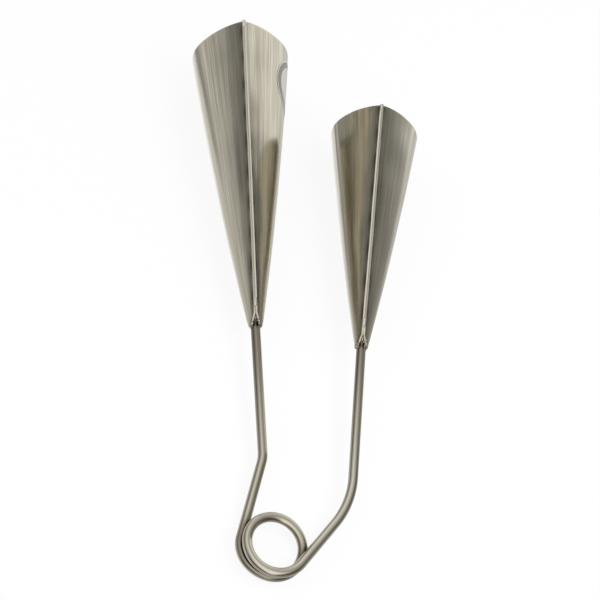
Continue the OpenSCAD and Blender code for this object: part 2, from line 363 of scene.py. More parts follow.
def join(parts: list[Patch]) -> Patch:
    """Joins solids of one material.

    Args:
        parts: The solids, which have no attributes.

    Returns:
        All of them as one, with the faces of each outwards.
    """
    faces, start = [], 0
    for part in parts:
        faces += [tuple(i + start for i in face) for face in part.outward().faces]
        start += len(part.points)
    return Patch(np.concatenate([part.points for part in parts]), faces)


def sheet_faces(rows: int, columns: int) -> tuple[list[Face], list[int]]:
    """Returns the faces of a bent sheet: outer grid, inner grid and the edges between.

    Args:
        rows: Number of sections.
        columns: Points across each face of a section.

    Returns:
        The faces, and the slot of each: 0 outside and on the edges, 1 inside.
    """
    size = rows * columns
    faces, slots = [], []
    for i in range(rows - 1):
        start, above = i * columns, (i + 1) * columns
        for k in range(columns - 1):
            a, b, c, d = start + k, start + k + 1, above + k, above + k + 1
            faces += [(a, b, d, c), (a + size, c + size, d + size, b + size)]
            slots += [0, 1]
        a, c = start, above
        faces.append((a, c, c + size, a + size))
        a, c = above - 1, above + columns - 1
        faces.append((a + size, c + size, c, a))
        slots += [0, 0]
    for a in range(columns - 1):
        faces.append((a + size, a + 1 + size, a + 1, a))
    for a in range(size - columns, size - 1):
        faces.append((a, a + 1, a + 1 + size, a + size))
    return faces, slots + [0] * (2 * columns - 2)


# ---- Finishes ----


class Grain(Enum):
    """How a brushed pattern lies on its piece."""

    ALONG = "streaks run along the piece, by its own grain attribute"
    ALL_OVER = "no direction, by object coordinates"


@dataclass(frozen=True)
class PlatedSteel:
    """Nickel-plated mild steel. The thin plating keeps each mark of the metal under it.

    Args:
        name: The material's name.
        tones: Hex colours from the darkest streak to the lightest.
        grain: How the streaks lie.
        streak_w: Width of one drawn streak, in mm. Real ones are about 0.1 mm, which is
            too fine to show, so they are drawn as coarse as they need to be.
        streak_l: Length of one streak, in mm.
        roughness: Roughness of the brightest streak.
        rough_span: How much rougher the dullest streak is.
        relief: Depth of the streaks, in mm.
        heat_tint_and_shade: Hex colour where the piece's attribute of that name says: heat tint, and painted
            shade in the seam's corner and between the loop's strands.
        worn: Hex colour where the piece's wear attribute says, on bright worn edges.
        metal: How metallic it is. Less where oxide has made it dull.
        tint_shade_rough: How much rougher a full heat tint and painted shade is.
        band_share: Share of broad bands in the pattern, against fine streaks.
        band_w: Width of a band, in streaks.
        band_l: Length of a band, in streaks.
        dark_at: Level of the noise at the darkest streak.
        light_at: Level of the noise at the lightest.
    """

    name: str
    tones: tuple[str, str, str]
    grain: Grain
    streak_w: float
    streak_l: float
    roughness: float
    rough_span: float
    relief: float
    heat_tint_and_shade: str | None = None
    worn: str | None = None
    metal: float = 1.0
    tint_shade_rough: float = 0.16
    band_share: float = 0.45
    band_w: float = 7.0
    band_l: float = 2.5
    dark_at: float = 0.3
    light_at: float = 0.7

    def build(self) -> Material:
        """Makes the material.

        Returns:
            The material.
        """
        material, tree, shader = new_material(self.name)
        shader.inputs["Metallic"].default_value = self.metal
        fine, broad = (
            self.noise(tree, self.streak_w * w, self.streak_l * l)
            for w, l in ((1, 1), (self.band_w, self.band_l))
        )
        level = add_node(tree, "ShaderNodeMix", {0: self.band_share, 2: fine, 3: broad}).outputs[0]
        places = (self.dark_at, (self.dark_at + self.light_at) / 2, self.light_at)
        ramp = add_node(tree, "ShaderNodeValToRGB", {"Fac": level})
        colour = set_stops(ramp, list(zip(places, map(linear, self.tones))))
        dull = self.roughness + self.rough_span
        spans = {0: level, 1: self.dark_at, 2: self.light_at, 3: dull, 4: self.roughness}
        rough = add_node(tree, "ShaderNodeMapRange", spans).outputs[0]
        # Heat tint darkens the colour where the piece's attribute says, and so does painted shade in the
        # seam's corner and between the loop's strands.
        if self.heat_tint_and_shade:
            share, colour = self.tinted(tree, colour, "heat_tint_and_shade", self.heat_tint_and_shade)
            sums = {0: share, 1: self.tint_shade_rough, 2: rough}
            rough = add_node(tree, "ShaderNodeMath", sums, operation="MULTIPLY_ADD").outputs[0]
        if self.worn:
            colour = self.tinted(tree, colour, "wear", self.worn)[1]
        relief = {"Height": fine, "Strength": 1.0, "Distance": self.relief * MM}
        bump = add_node(tree, "ShaderNodeBump", relief)
        tree.links.new(colour, shader.inputs["Base Color"])
        tree.links.new(rough, shader.inputs["Roughness"])
        tree.links.new(bump.outputs[0], shader.inputs["Normal"])
        return material

    def noise(self, tree: NodeTree, width: float, length: float) -> NodeSocket:
        """Makes a pattern of streaks.

        Args:
            tree: The material's node tree.
            width: Width of a streak, in mm.
            length: Length of a streak, in mm.

        Returns:
            The pattern, from 0 to 1.
        """
        across, along = 1 / (width * MM), 1 / (length * MM)
        if self.grain is Grain.ALONG:
            place = add_node(tree, "ShaderNodeAttribute", attribute_name="grain").outputs["Vector"]
            scale = (across, along, along)
        else:
            place = add_node(tree, "ShaderNodeTexCoord").outputs["Object"]
            scale = (across, across, across)
        mapped = add_node(tree, "ShaderNodeMapping", {"Vector": place, "Scale": scale}).outputs[0]
        values = {"Vector": mapped, **STREAK_NOISE}
        return add_node(tree, "ShaderNodeTexNoise", values).outputs[0]

    @staticmethod
    def tinted(
        tree: NodeTree, colour: NodeSocket, mask: str, tint: str
    ) -> tuple[NodeSocket, NodeSocket]:
        """Lays a tint over a colour where the piece's own attribute says.

        Args:
            tree: The material's node tree.
            colour: The colour under the tint.
            mask: The attribute's name.
            tint: Hex colour of the tint.

        Returns:
            The attribute's share, and the colour with its tint.
        """
        share = add_node(tree, "ShaderNodeAttribute", attribute_name=mask).outputs["Fac"]
        values = {0: share, 6: colour, 7: linear(tint)}
        return share, add_node(tree, "ShaderNodeMix", values, data_type="RGBA").outputs[2]


@dataclass(frozen=True)
class FoilLabel:
    """A printed metallised foil label, left blank: silver grey with a plain dark border.

    Args:
        face: Hex colour of the foil.
        border: Hex colour of the border's two lines.
        band: Hex colour of the band between the lines.
        border_from: Share of the oval's radius at which the border starts.
        border_to: Share of the oval's radius at which it ends.
        line: Width of each line, as a share of the oval's radius.
        soft: Softness of each line's edges, as a share of the oval's radius.
        metal: How metallic it is, under its clear varnish.
        roughness: Roughness of the foil.
        varnish: Weight of the varnish.
        grain: Grains in a metre of the foil's faint texture.
        detail: Finer layers of that texture.
        relief: Depth of that texture, in mm.
        strength: Share of that depth that shows.
    """

    face: str = "#c2c0b9"
    border: str = "#4f4c43"
    band: str = "#757168"
    border_from: float = 0.80
    border_to: float = 0.96
    line: float = 0.018
    soft: float = 0.006
    metal: float = 0.35
    roughness: float = 0.34
    varnish: float = 0.25
    grain: float = 900.0
    detail: float = 2.0
    relief: float = 0.02
    strength: float = 0.4

    def build(self) -> Material:
        """Makes the material.

        Returns:
            The material.
        """
        material, tree, shader = new_material("blank_foil_label")
        shader.inputs["Metallic"].default_value = self.metal
        shader.inputs["Roughness"].default_value = self.roughness
        shader.inputs["Coat Weight"].default_value = self.varnish
        radius = add_node(tree, "ShaderNodeAttribute", attribute_name="oval").outputs["Fac"]
        inner, outer = self.border_from + self.line, self.border_to - self.line
        stops = [
            (self.border_from - self.soft, self.face), (self.border_from, self.border),
            (inner, self.border), (inner + self.soft, self.band),
            (outer - self.soft, self.band), (outer, self.border),
            (self.border_to, self.border), (self.border_to + self.soft, self.face),
        ]
        ramp = add_node(tree, "ShaderNodeValToRGB", {"Fac": radius})
        colour = set_stops(ramp, [(at, linear(tone)) for at, tone in stops])
        place = add_node(tree, "ShaderNodeTexCoord").outputs["Object"]
        values = {"Vector": place, "Scale": self.grain, "Detail": self.detail}
        height = add_node(tree, "ShaderNodeTexNoise", values).outputs[0]
        relief = {"Height": height, "Strength": self.strength, "Distance": self.relief * MM}
        bump = add_node(tree, "ShaderNodeBump", relief)
        tree.links.new(colour, shader.inputs["Base Color"])
        tree.links.new(bump.outputs[0], shader.inputs["Normal"])
        return material


# Cold-rolled sheet, brushed from the throat to the mouth and plated: a warm grey satin.
BRUSHED_SHEET = PlatedSteel(
    "brushed_nickel_plated_sheet", ("#8d8575", "#b7b1a1", "#dcd7c8"), Grain.ALONG,
    streak_w=0.36, streak_l=36, roughness=0.15, rough_span=0.09, relief=0.018,
    # Its dark #453d30 is heat tint by the seam, and painted shade in the corner beside the fin.
    heat_tint_and_shade="#453d30", worn="#c6c0b1",
)
# The hollow isn't brushed, so it stays duller and darker.
DULL_SHEET = PlatedSteel(
    "dull_plated_sheet", ("#655f54", "#7a7468", "#8f887c"), Grain.ALL_OVER,
    streak_w=3.0, streak_l=3.0, roughness=0.45, rough_span=0.12, relief=0.02, metal=0.4,
)
# Bright drawn bar: smoother than the sheet, with faint lines along it.
POLISHED_ROD = PlatedSteel(
    "polished_nickel_plated_rod", ("#989181", "#b5af9f", "#cfc9ba"), Grain.ALONG,
    # Its dark #5f574a is heat tint near the bells, and painted shade in the grooves between the loop's
    # strands.
    streak_w=0.5, streak_l=50, roughness=0.11, rough_span=0.06, relief=0.008, heat_tint_and_shade="#5f574a",
)
# Weld metal and braze go rough and pale under the plating.
PLATED_BEAD = PlatedSteel(
    "plated_weld_bead", ("#a8a093", "#c8c1b5", "#e8e3da"), Grain.ALL_OVER,
    streak_w=0.7, streak_l=0.7, roughness=0.28, rough_span=0.2, relief=0.05,
)
PLATED_BRAZE = PlatedSteel(
    "plated_braze", ("#6b6357", "#aaa295", "#e4dfd5"), Grain.ALL_OVER,
    streak_w=0.8, streak_l=0.8, roughness=0.3, rough_span=0.2, relief=0.06,
)


# ---- The frame's lay on the table ----


@dataclass(frozen=True)
class TableLay:
    """Where the flat drawing lies in the frame's own axes.

    Args:
        centre: The loop's centre, in metres.
        rotation: Rotation from the flat frame.
    """

    centre: np.ndarray
    rotation: np.ndarray

    @classmethod
    def from_joint(cls, joint: dict) -> "TableLay":
        """Reads the lay from the squeeze joint, which turns about the loop's own axis.

        Args:
            joint: The joint, as the frame gives it.

        Returns:
            The lay.
        """
        axis = Vector(joint["axis"]).normalized()
        tip = Vector((0, 0, 1)).rotation_difference(axis).to_matrix()
        return cls(np.array(joint["pos_m"]), np.array(tip))

    def place(self, points: np.ndarray) -> np.ndarray:
        """Turns flat millimetres to metres in the frame's axes."""
        return points @ self.rotation.T * MM + self.centre

    def mesh_object(self, name: str, patch: Patch, materials: list[Material]) -> Object:
        """Makes a smooth mesh object of a solid drawn in the flat frame.

        Args:
            name: The piece's name.
            patch: The solid.
            materials: One for each slot number.

        Returns:
            The new object, at the origin.
        """
        patch = patch.outward()
        mesh = bpy.data.meshes.new(name)
        mesh.from_pydata(self.place(patch.points).tolist(), [], patch.faces)
        if patch.slots:
            mesh.polygons.foreach_set("material_index", patch.slots)
        mesh.shade_smooth()
        mesh.set_sharp_from_angle(angle=math.radians(SHARP_FROM))
        for key, values in patch.attributes.items():
            kind, part = ("FLOAT_VECTOR", "vector") if values.ndim == 2 else ("FLOAT", "value")
            attribute = mesh.attributes.new(key, kind, "POINT")
            attribute.data.foreach_set(part, values.astype(np.float32).ravel())
        for material in materials:
            mesh.materials.append(material)
        return new_object(name, mesh)


# ---- The rod ----


@dataclass
class Arm:
    """One arm of the rod, with its two straight stretches and the bend between them.

    Args:
        lean: Lean of the lower stretch, in degrees.
        bend: Turn back to the left at the bend, in degrees.
        bend_r: Radius of the bend, at the centre line.
        low: Length from the loop to the bend's corner.
        up: Length from the bend's corner to the bell's throat.
        swing: How much wider the loop is where it meets this arm.
        swing_turn: Turn over which the loop closes to its even radius, in degrees.
    """

    lean: float
    bend: float
    bend_r: float
    low: float
    up: float
    swing: float
    swing_turn: float

    @property
    def bell_lean(self) -> float:
        """Lean of the bell's axis, in degrees."""
        return self.lean - self.bend


@dataclass
class BentRod:
    """The one steel rod: two arms and the loop that is handle and spring.

    Args:
        large: The arm that carries the large bell.
        small: The arm that carries the small bell.
        diameter: Diameter of the rod.
        loop_bore: Clear diameter inside the loop.
        loop_rise: Height between the loop's first and last strand.
        inside: Length of rod inside each bell's throat.
        lead: Straight stretch at each end of the loop.
        heat_run: How far down the rod the brazing heat has tinted it.
        heat_tint: Share of that tint at the bells.
        groove_full: Clearance to the next strand up to which the loop gets full painted shade.
        groove_fade: Clearance over which that painted shade fades.
        groove_reach: Length each way from the rod's middle that is looked at for
            grooves, in turns of the loop.
        loop_rings: Rings of the finished skin in the loop.
        ring_step: Distance between two rings elsewhere.
        sides: Sides of the finished skin.
    """

    large: Arm
    small: Arm
    diameter: float = 6.0
    loop_bore: float = 29.3
    loop_rise: float = 9.1
    inside: float = 10.0
    lead: float = 6.0
    heat_run: float = 75.0
    heat_tint: float = 0.75
    groove_full: float = 2.6
    groove_fade: float = 1.4
    groove_reach: float = 1.2
    loop_rings: int = 140
    ring_step: float = 1.2
    sides: int = 40

    @property
    def radius(self) -> float:
        """Radius of the rod."""
        return self.diameter / 2

    @property
    def enter(self) -> float:
        """Angle at which the large bell's arm meets the loop, in degrees."""
        return 180 - self.large.lean

    @property
    def leave(self) -> float:
        """Angle at which the loop meets the small bell's arm, in degrees."""
        return 720 - self.small.lean

    def strand_radius(self, angle: np.ndarray) -> np.ndarray:
        """Works out the radius of the loop's centre line, which opens towards both arms.

        Args:
            angle: Angles in degrees.

        Returns:
            The radius at each angle.
        """
        ends = ((self.large, angle - self.enter), (self.small, self.leave - angle))
        swings = (
            arm.swing * (1 + np.cos(np.pi * np.minimum(1, way / arm.swing_turn))) / 2
            for arm, way in ends
        )
        return self.loop_bore / 2 + self.radius + sum(swings)

    def loop_point(self, angle: np.ndarray) -> np.ndarray:
        """Works out points of the loop's centre line.

        Args:
            angle: Angles in degrees.

        Returns:
            The point at each angle.
        """
        share = (angle - self.enter) / (self.leave - self.enter)
        rise = share - np.sin(2 * np.pi * share) / (2 * np.pi) - 0.5
        loop_r = self.strand_radius(angle)
        turned = np.radians(angle)
        flat = [loop_r * np.cos(turned), loop_r * np.sin(turned)]
        return np.stack(flat + [self.loop_rise * rise], -1)

    def root(self, arm: Arm) -> np.ndarray:
        """Returns where an arm's own length starts, one lead away from the loop."""
        angle = self.enter if arm is self.large else self.leave
        return self.loop_point(np.array(angle)) + self.lead * heading(arm.lean)

    def throat(self, arm: Arm) -> np.ndarray:
        """Returns the middle of the throat's edge of the bell on an arm."""
        corner = self.root(arm) + (arm.low - self.lead) * heading(arm.lean)
        return corner + arm.up * heading(arm.bell_lean)

    def arm_path(self, arm: Arm) -> np.ndarray:
        """Works out points of an arm's centre line.

        Args:
            arm: The arm.

        Returns:
            The points, from the loop to the rod's end in the bell.
        """
        cut_back = arm.bend_r * math.tan(math.radians(arm.bend / 2))
        low = arm.low - self.lead - cut_back
        start = self.root(arm)
        centre = start + low * heading(arm.lean) + arm.bend_r * heading(arm.lean - 90)
        turns = np.linspace(arm.lean, arm.bell_lean, round(arm.bend))
        bend = np.array([centre - arm.bend_r * heading(a - 90) for a in turns])
        end = self.throat(arm) + self.inside * heading(arm.bell_lean)
        straight = [self.ticks(start, bend[0])[:-1], bend[:-1], self.ticks(bend[-1], end)]
        return np.concatenate(straight)

    def ticks(self, start: np.ndarray, end: np.ndarray) -> np.ndarray:
        """Returns points one ring step apart between two points."""
        count = max(2, round(np.linalg.norm(end - start) / self.ring_step))
        return start + np.linspace(0, 1, count)[:, None] * (end - start)

    def path(self) -> np.ndarray:
        """Returns the whole centre line, from the large bell to the small one."""
        loop = self.loop_point(np.linspace(self.enter, self.leave, self.loop_rings))
        return np.concatenate([self.arm_path(self.large)[::-1], loop, self.arm_path(self.small)])

    def skin_tree(self, material: Material) -> NodeTree:
        """Builds the Geometry Nodes that sweep the rod's round skin along its path.

        Args:
            material: The rod's finish.

        Returns:
            The tree, with inputs for the rod's radius and sides. It stores the grain
            attribute: the way round and the way along, in metres.
        """
        sockets = {"Path": "Geometry", "Rod Radius": "Float", "Sides": "Int"}
        tree, given = open_tree("rod_skin", sockets)
        size = {"Resolution": given.outputs["Sides"], "Radius": given.outputs["Rod Radius"]}
        circle = add_node(tree, "GeometryNodeCurvePrimitiveCircle", size)
        spot = add_node(tree, "GeometryNodeSplineParameter").outputs["Length"]
        kept = []
        for curve in (given.outputs["Path"], circle.outputs["Curve"]):
            node = add_node(tree, "GeometryNodeCaptureAttribute", domain="POINT")
            node.capture_items.new("FLOAT", "kept")
            tree.links.new(curve, node.inputs[0])
            tree.links.new(spot, node.inputs[1])
            kept.append(node.outputs)
        along, around = kept
        parts = {"Curve": along[0], "Profile Curve": around[0], "Fill Caps": True}
        skin = add_node(tree, "GeometryNodeCurveToMesh", parts).outputs[0]
        grain = add_node(tree, "ShaderNodeCombineXYZ", {"X": around[1], "Y": along[1]}).outputs[0]
        stored = add_node(
            tree, "GeometryNodeStoreNamedAttribute",
            {"Geometry": skin, "Name": "grain", "Value": grain},
            data_type="FLOAT_VECTOR", domain="POINT",
        )
        close_tree(tree, stored.outputs[0], material)
        return tree

    def build(self, lay: TableLay) -> Object:
        """Makes the rod as one smooth mesh.

        Args:
            lay: Where the flat drawing lies.

        Returns:
            The rod, as a plain mesh with no modifier.
        """
        path = lay.place(self.path())
        values = {"Rod Radius": self.radius * MM, "Sides": self.sides}
        tree = self.skin_tree(POLISHED_ROD.build())
        piece = grown(draft_lines("rod_path", [path]), tree, values, "rod")
        self.heat_tint_and_shade(piece, path)
        return piece

    def heat_tint_and_shade(self, piece: Object, path: np.ndarray) -> None:
        """Stores where the rod is dark: heat tint near the brazed bells, and painted shade between the
        loop's strands.

        Args:
            piece: The rod.
            path: Points of its centre line, in metres.
        """
        mesh = piece.data
        spots, grain = np.empty((2, len(mesh.vertices) * 3), np.float32)
        mesh.vertices.foreach_get("co", spots)
        mesh.attributes["grain"].data.foreach_get("vector", grain)
        spots, along = spots.reshape(-1, 3), grain[1::3]
        from_bell = np.minimum(along, along.max() - along)
        dark = self.heat_tint * np.exp(-((from_bell / (self.heat_run * MM)) ** 2))
        way = np.r_[0, np.cumsum(np.linalg.norm(np.diff(path, axis=0), axis=1))]
        turn_run = 2 * math.pi * (self.loop_bore / 2 + self.radius) * MM
        reach = self.groove_reach * turn_run
        near_loop = np.abs(way - way[-1] / 2) < reach
        path, way = path[near_loop], way[near_loop]
        # Painted shade darkens the loop where another strand lies close.
        for spot in np.flatnonzero(np.abs(along - along.max() / 2) < reach):
            other = path[np.abs(way - along[spot]) > turn_run / 2]
            clear = np.linalg.norm(other - spots[spot], axis=1).min() / MM - self.radius
            groove = math.exp(-max(0.0, clear - self.groove_full) / self.groove_fade)
            dark[spot] = max(dark[spot], groove)
        stored = mesh.attributes.new("heat_tint_and_shade", "FLOAT", "POINT")
        stored.data.foreach_set("value", dark.astype(np.float32))


# ---- The bells ----


@dataclass
class FoldedBell:
    """A cone folded from one sheet, with its two edges turned out as a seam.

    Its own frame has the rod's axis along Y, from the throat's edge, and the seam
    along +Z. All lengths are in millimetres.

    Args:
        name: Start of its pieces' names.
        body: The body of the frame that it rides on.
        length: Length of the bell.
        mouth: Width across the mouth.
        swell: Swell of the sides over straight lines, halfway up.
        fin: Height of the seam's fin over the folded corner.
        flare: Slackness of the cone where it leaves the rod.
        drop: How far the seam's corner of the mouth falls back behind its sides.
        turned: Turn of the seam from straight up, to the left, in degrees.
        throat: Middle of the throat's edge in the flat frame.
        lean: Lean of the bell's axis, in degrees.
        tip_tilt: Tilt of the fin's two edges away from each other, in degrees.
        tint_shade_to: Share of the length over which the seam's right corner gets heat tint and painted
            shade.
        seed: Seed of what hand work leaves uneven.
        rod_r: Radius of the rod in the throat.
        sheet: Thickness of the sheet.
        throat_clear: Clearance between the rod and the throat.
        throat_run: Length over which the throat opens to the cone.
        seam_slope: Slope of the sides towards the seam, in degrees.
        side_from: Angle over the widest side at which the round back ends, in degrees.
        seam_gap: Gap between the two flanges.
        slot_half: How much further out each flange stands at the throat's slot.
        slot_len: Length of that slot.
        fin_run: Length over which the fin rises from the throat.
        fin_waves: Unevenness of the fin's edge: height and length of each wave.
        fold_r: Radius of the fold, at the sheet's middle.
        edge_round: Length over which an edge is rounded.
        edge_thin: Thickness of the fin's rounded edge, as a share of the sheet's.
        ends_thin: The same at the throat's and the mouth's edge and next to it.
        edge_rings: Places of the sections in that edge, as shares of its rounded length.
        wear_run: How far from an edge it is worn bright.
        wear_least: Share of that wear round the slot.
        tint_shade_run: How far the heat tint and painted shade spread from the fold.
        tint_shade_up: How far they climb the flange.
        tint_shade_cut: How sharply they end along the seam's right corner.
        patch: How patchy it is, from 0 to 1.
        patch_run: Length of a patch.
        waver: Waver that rolling and folding by hand leave in the sheet.
        waves: The waver's waves: share, length, and waves in a radian round.
        waver_run: Length over which the waver grows from the throat.
        fold_run: Distance from the fold over which the stiff fold holds it down.
        round_to: How far round from the back the sheet is rolled, in radians.
        round_fade: Way round over which the rolled part ends.
        round_waver: Share of the waver in the rolled part.
        station_step: Distance between two drawn sections.
        slot_stations: Sections along the slot.
        back_points: Points of a section on half the round back.
        side_points: Points on one side.
        fold_points: Points in one fold.
        flange_rises: Places of the points on a flange, as shares of its height.
    """

    name: str
    body: str
    length: float
    mouth: float
    swell: float
    fin: float
    flare: float
    drop: float
    turned: float
    throat: np.ndarray
    lean: float
    tip_tilt: float
    tint_shade_to: float
    seed: int
    rod_r: float = 3.0
    sheet: float = 1.1
    throat_clear: float = 0.05
    throat_run: float = 4.0
    seam_slope: float = 45.0
    side_from: float = 35.0
    seam_gap: float = 0.03
    slot_half: float = 1.5
    slot_len: float = 5.0
    fin_run: float = 9.0
    fin_waves: tuple[tuple[float, float], ...] = ((0.10, 6.1), (0.07, 2.3))
    fold_r: float = 1.3
    edge_round: float = 0.14
    edge_thin: float = 0.84
    ends_thin: tuple[float, float] = (0.45, 0.8)
    edge_rings: tuple[float, ...] = (0.0, 0.35, 1.0)
    wear_run: float = 0.5
    wear_least: float = 0.25
    tint_shade_run: float = 2.2
    tint_shade_up: float = 1.6
    tint_shade_cut: float = 25.0
    patch: float = 0.25
    patch_run: float = 3.3
    waver: float = 0.10
    waves: tuple[tuple[float, float, float], ...] = (
        (1.0, 17.0, 2.2), (0.7, 9.5, -3.1), (0.5, 5.2, 1.3),
    )
    waver_run: float = 40.0
    fold_run: float = 4.0
    round_to: float = 2.2
    round_fade: float = 0.2
    round_waver: float = 0.35
    station_step: float = 1.8
    slot_stations: int = 9
    back_points: int = 32
    side_points: int = 14
    fold_points: int = 6
    flange_rises: tuple[float, ...] = (0.35, 0.7, 1.0)

    def to_flat(self, points: np.ndarray) -> np.ndarray:
        """Turns points of the bell's own frame to the flat frame."""
        return points @ turn("Y", -self.turned).T @ turn("Z", -self.lean).T + self.throat

    def half_width(self, s: np.ndarray | float) -> np.ndarray:
        """Works out half the section's width.

        Args:
            s: Distance from the throat's edge.

        Returns:
            Half the width there.
        """
        u = s / self.length
        start = self.rod_r + self.throat_clear + self.sheet + self.flare
        closing = self.flare * np.maximum(0, 1 - s / self.throat_run) ** 2
        return start + (self.mouth / 2 - start) * u + 4 * self.swell * u * (1 - u) - closing

    def flange_x(self, s: float) -> float:
        """Returns half the distance between the middles of the two flanges."""
        return (self.seam_gap + self.sheet) / 2 + self.slot_half * max(0, 1 - s / self.slot_len)

    def fin_z(self, s: np.ndarray | float) -> np.ndarray:
        """Works out the height of the fin's edge, which is a little uneven by hand.

        Args:
            s: Distance from the throat's edge.

        Returns:
            The height over the axis there.
        """
        even = self.half_width(s) / math.sin(math.radians(self.seam_slope))
        uneven = sum(
            height * np.sin(s / run + k * self.seed)
            for k, (height, run) in enumerate(self.fin_waves, 1)
        )
        return even + (self.fin + uneven) * np.minimum(1, s / self.fin_run)

    def fall_back(self, s: np.ndarray | float, d: np.ndarray) -> np.ndarray:
        """Works out how far a point falls back, more and more towards the mouth.

        Args:
            s: Distance from the throat's edge.
            d: Distance from the axis.

        Returns:
            How much nearer to the throat it lies.
        """
        w = self.mouth / 2
        ridge = w / math.sin(math.radians(self.seam_slope))
        return self.drop * (d**2 - w**2) / (ridge**2 - w**2) * (s / self.length) ** 3

    @property
    def crown(self) -> float:
        """How far behind the axis the side's arc is centred, as a share of the half width.

        The side bulges a little, so that the straight line from where it leaves the round
        back to the seam's corner lies at the seam's slope.
        """
        slope, start = (math.sin(math.radians(a)) for a in (self.seam_slope, self.side_from))
        return (1 / slope**2 - 1) / (2 * (1 - start / slope))

    def half_section(self, s: float) -> tuple[np.ndarray, np.ndarray, np.ndarray, np.ndarray]:
        """Returns the middle line of the right half of the section at s.

        Args:
            s: Distance from the throat's edge.

        Returns:
            Points from the back to the fin's edge, their outward normals, the way round
            in radians, and the distance from the seam's fold.
        """
        w, x, top = float(self.half_width(s)), self.flange_x(s), float(self.fin_z(s))
        r = w - self.sheet / 2
        start = math.radians(self.side_from)
        behind = -self.crown * w * np.array([math.cos(start), math.sin(start)])
        side_r = r + self.crown * w
        out = x + self.fold_r - behind[0]
        up = math.sqrt((side_r + self.fold_r) ** 2 - out**2)
        fold = np.array([x + self.fold_r, behind[1] + up])
        fold_from = math.atan2(fold[1] - behind[1], out)
        back = np.linspace(-math.pi / 2, start, self.back_points)
        side = np.linspace(start, fold_from, self.side_points)[1:-1]
        bend = np.linspace(fold_from, 0, self.fold_points)
        ways = [np.stack([np.cos(a), np.sin(a)], -1) for a in (back, side, bend)]
        rise = np.array(self.flange_rises) * (top - self.edge_round - fold[1])
        heights = fold[1] + np.concatenate([rise, [top - fold[1]]])
        flange = np.stack([np.full(len(heights), x), heights], -1)
        sheet = [r * ways[0], behind + side_r * ways[1], fold - self.fold_r * ways[2], flange]
        points = np.concatenate(sheet)
        tilt = math.radians(self.tip_tilt)
        upright = np.array([[1.0, 0.0]] * len(rise) + [[math.cos(tilt), -math.sin(tilt)]])
        steps = np.linalg.norm(np.diff(points, axis=0), axis=1)
        way = np.concatenate([[0], np.cumsum(steps)])
        fold_at = len(back) + len(side) + len(bend) // 2
        return points, np.concatenate(ways + [upright]), way / r, way - way[fold_at]

    def stations(self) -> np.ndarray:
        """Works out where the sections are drawn.

        Returns:
            Their distances from the throat's edge.
        """
        e = self.edge_round
        rounded = np.array(self.edge_rings) * e
        slot = np.linspace(e, self.slot_len, self.slot_stations)[1:]
        count = round((self.length - self.slot_len - e) / self.station_step)
        body = np.linspace(self.slot_len, self.length - e, count)[1:]
        return np.concatenate([rounded, slot, body, self.length - rounded[1::-1]])

    def hand_work(self, s: float, way: np.ndarray, from_fold: np.ndarray) -> np.ndarray:
        """Returns how far the hand-rolled sheet stands off its even shape.

        Args:
            s: Distance from the throat's edge.
            way: Way round from the back, in radians.
            from_fold: Distance from the seam's fold, which is below 0 on the back.

        Returns:
            The height over the even sheet, in mm.
        """
        phases = np.random.default_rng(self.seed).uniform(0, PHASE_SPAN, len(self.waves))
        wave = sum(
            share * np.sin(s / run + about * way + phase)
            for (share, run, about), phase in zip(self.waves, phases)
        )
        free = np.clip((np.abs(way) - self.round_to) / self.round_fade, 0, 1)
        free *= np.clip(-from_fold / self.fold_run, 0, 1)
        share = self.round_waver + (1 - self.round_waver) * free
        return self.waver * min(1.0, s / self.waver_run) * wave * share

    def masks(self, s: float, way: np.ndarray, from_fold: np.ndarray) -> dict[str, np.ndarray]:
        """Returns what the sheet's material reads along one section.

        Args:
            s: Distance from the throat's edge.
            way: Way round from the back, in radians.
            from_fold: Distance from the seam's fold.

        Returns:
            The brushing's own coordinates in metres, and the shares of wear and of heat tint with painted
            shade.
        """
        grain = np.stack([way * self.mouth / 2, np.full(len(way), s), np.zeros(len(way))], -1)
        edge = np.minimum(from_fold.max() - from_fold, min(s, self.length - s))
        bare = np.clip((s - self.slot_len) / self.slot_len, self.wear_least, 1)
        # Heat tint, and painted shade in the corner beside the fin, darken the sheet near the seam's fold.
        near = np.exp(-((from_fold / self.tint_shade_run) ** 2)) * (from_fold < self.tint_shade_up)
        right = 1 / (1 + math.exp((s / self.length - self.tint_shade_to) * self.tint_shade_cut))
        patchy = 1 - self.patch + self.patch * np.sin(s / self.patch_run + self.seed)
        return {
            "grain": grain * MM,
            "wear": bare * np.exp(-edge / self.wear_run),
            "heat_tint_and_shade": near * np.where(way > 0, right, 1) * patchy,
        }

    def shell(self) -> Patch:
        """Makes the folded sheet.

        Returns:
            One closed solid in the flat frame, with all that its materials read.
        """
        stations = self.stations()
        ends = np.ones(len(stations))
        ends[:2], ends[-2:] = self.ends_thin, self.ends_thin[::-1]
        mirror = np.array([-1.0, 1.0])
        layers, masks = ([], []), []
        for s, end in zip(stations, ends):
            points, normals, way, from_fold = self.half_section(s)
            tips = np.ones(len(points))
            tips[-1] = self.edge_thin
            thick = both_halves(tips, 1) * end * self.sheet / 2
            way, from_fold = both_halves(way, -1), both_halves(from_fold, 1)
            line, normal = both_halves(points, mirror), both_halves(normals, mirror)
            line = line + normal * self.hand_work(s, way, from_fold)[:, None]
            masks.append(self.masks(s, way, from_fold))
            for side, rows in zip((1, -1), layers):
                p = line + side * normal * thick[:, None]
                y = s - self.fall_back(s, np.linalg.norm(p, axis=1))
                rows.append(np.stack([p[:, 0], y, p[:, 1]], -1))
        faces, slots = sheet_faces(len(stations), len(line))
        attributes = {}
        for key in masks[0]:
            outside = np.concatenate([mask[key] for mask in masks])
            inside = outside * (key != "heat_tint_and_shade")
            attributes[key] = np.concatenate([outside, inside])
        points = self.to_flat(np.concatenate(layers).reshape(-1, 3))
        return Patch(points, faces, slots, attributes)

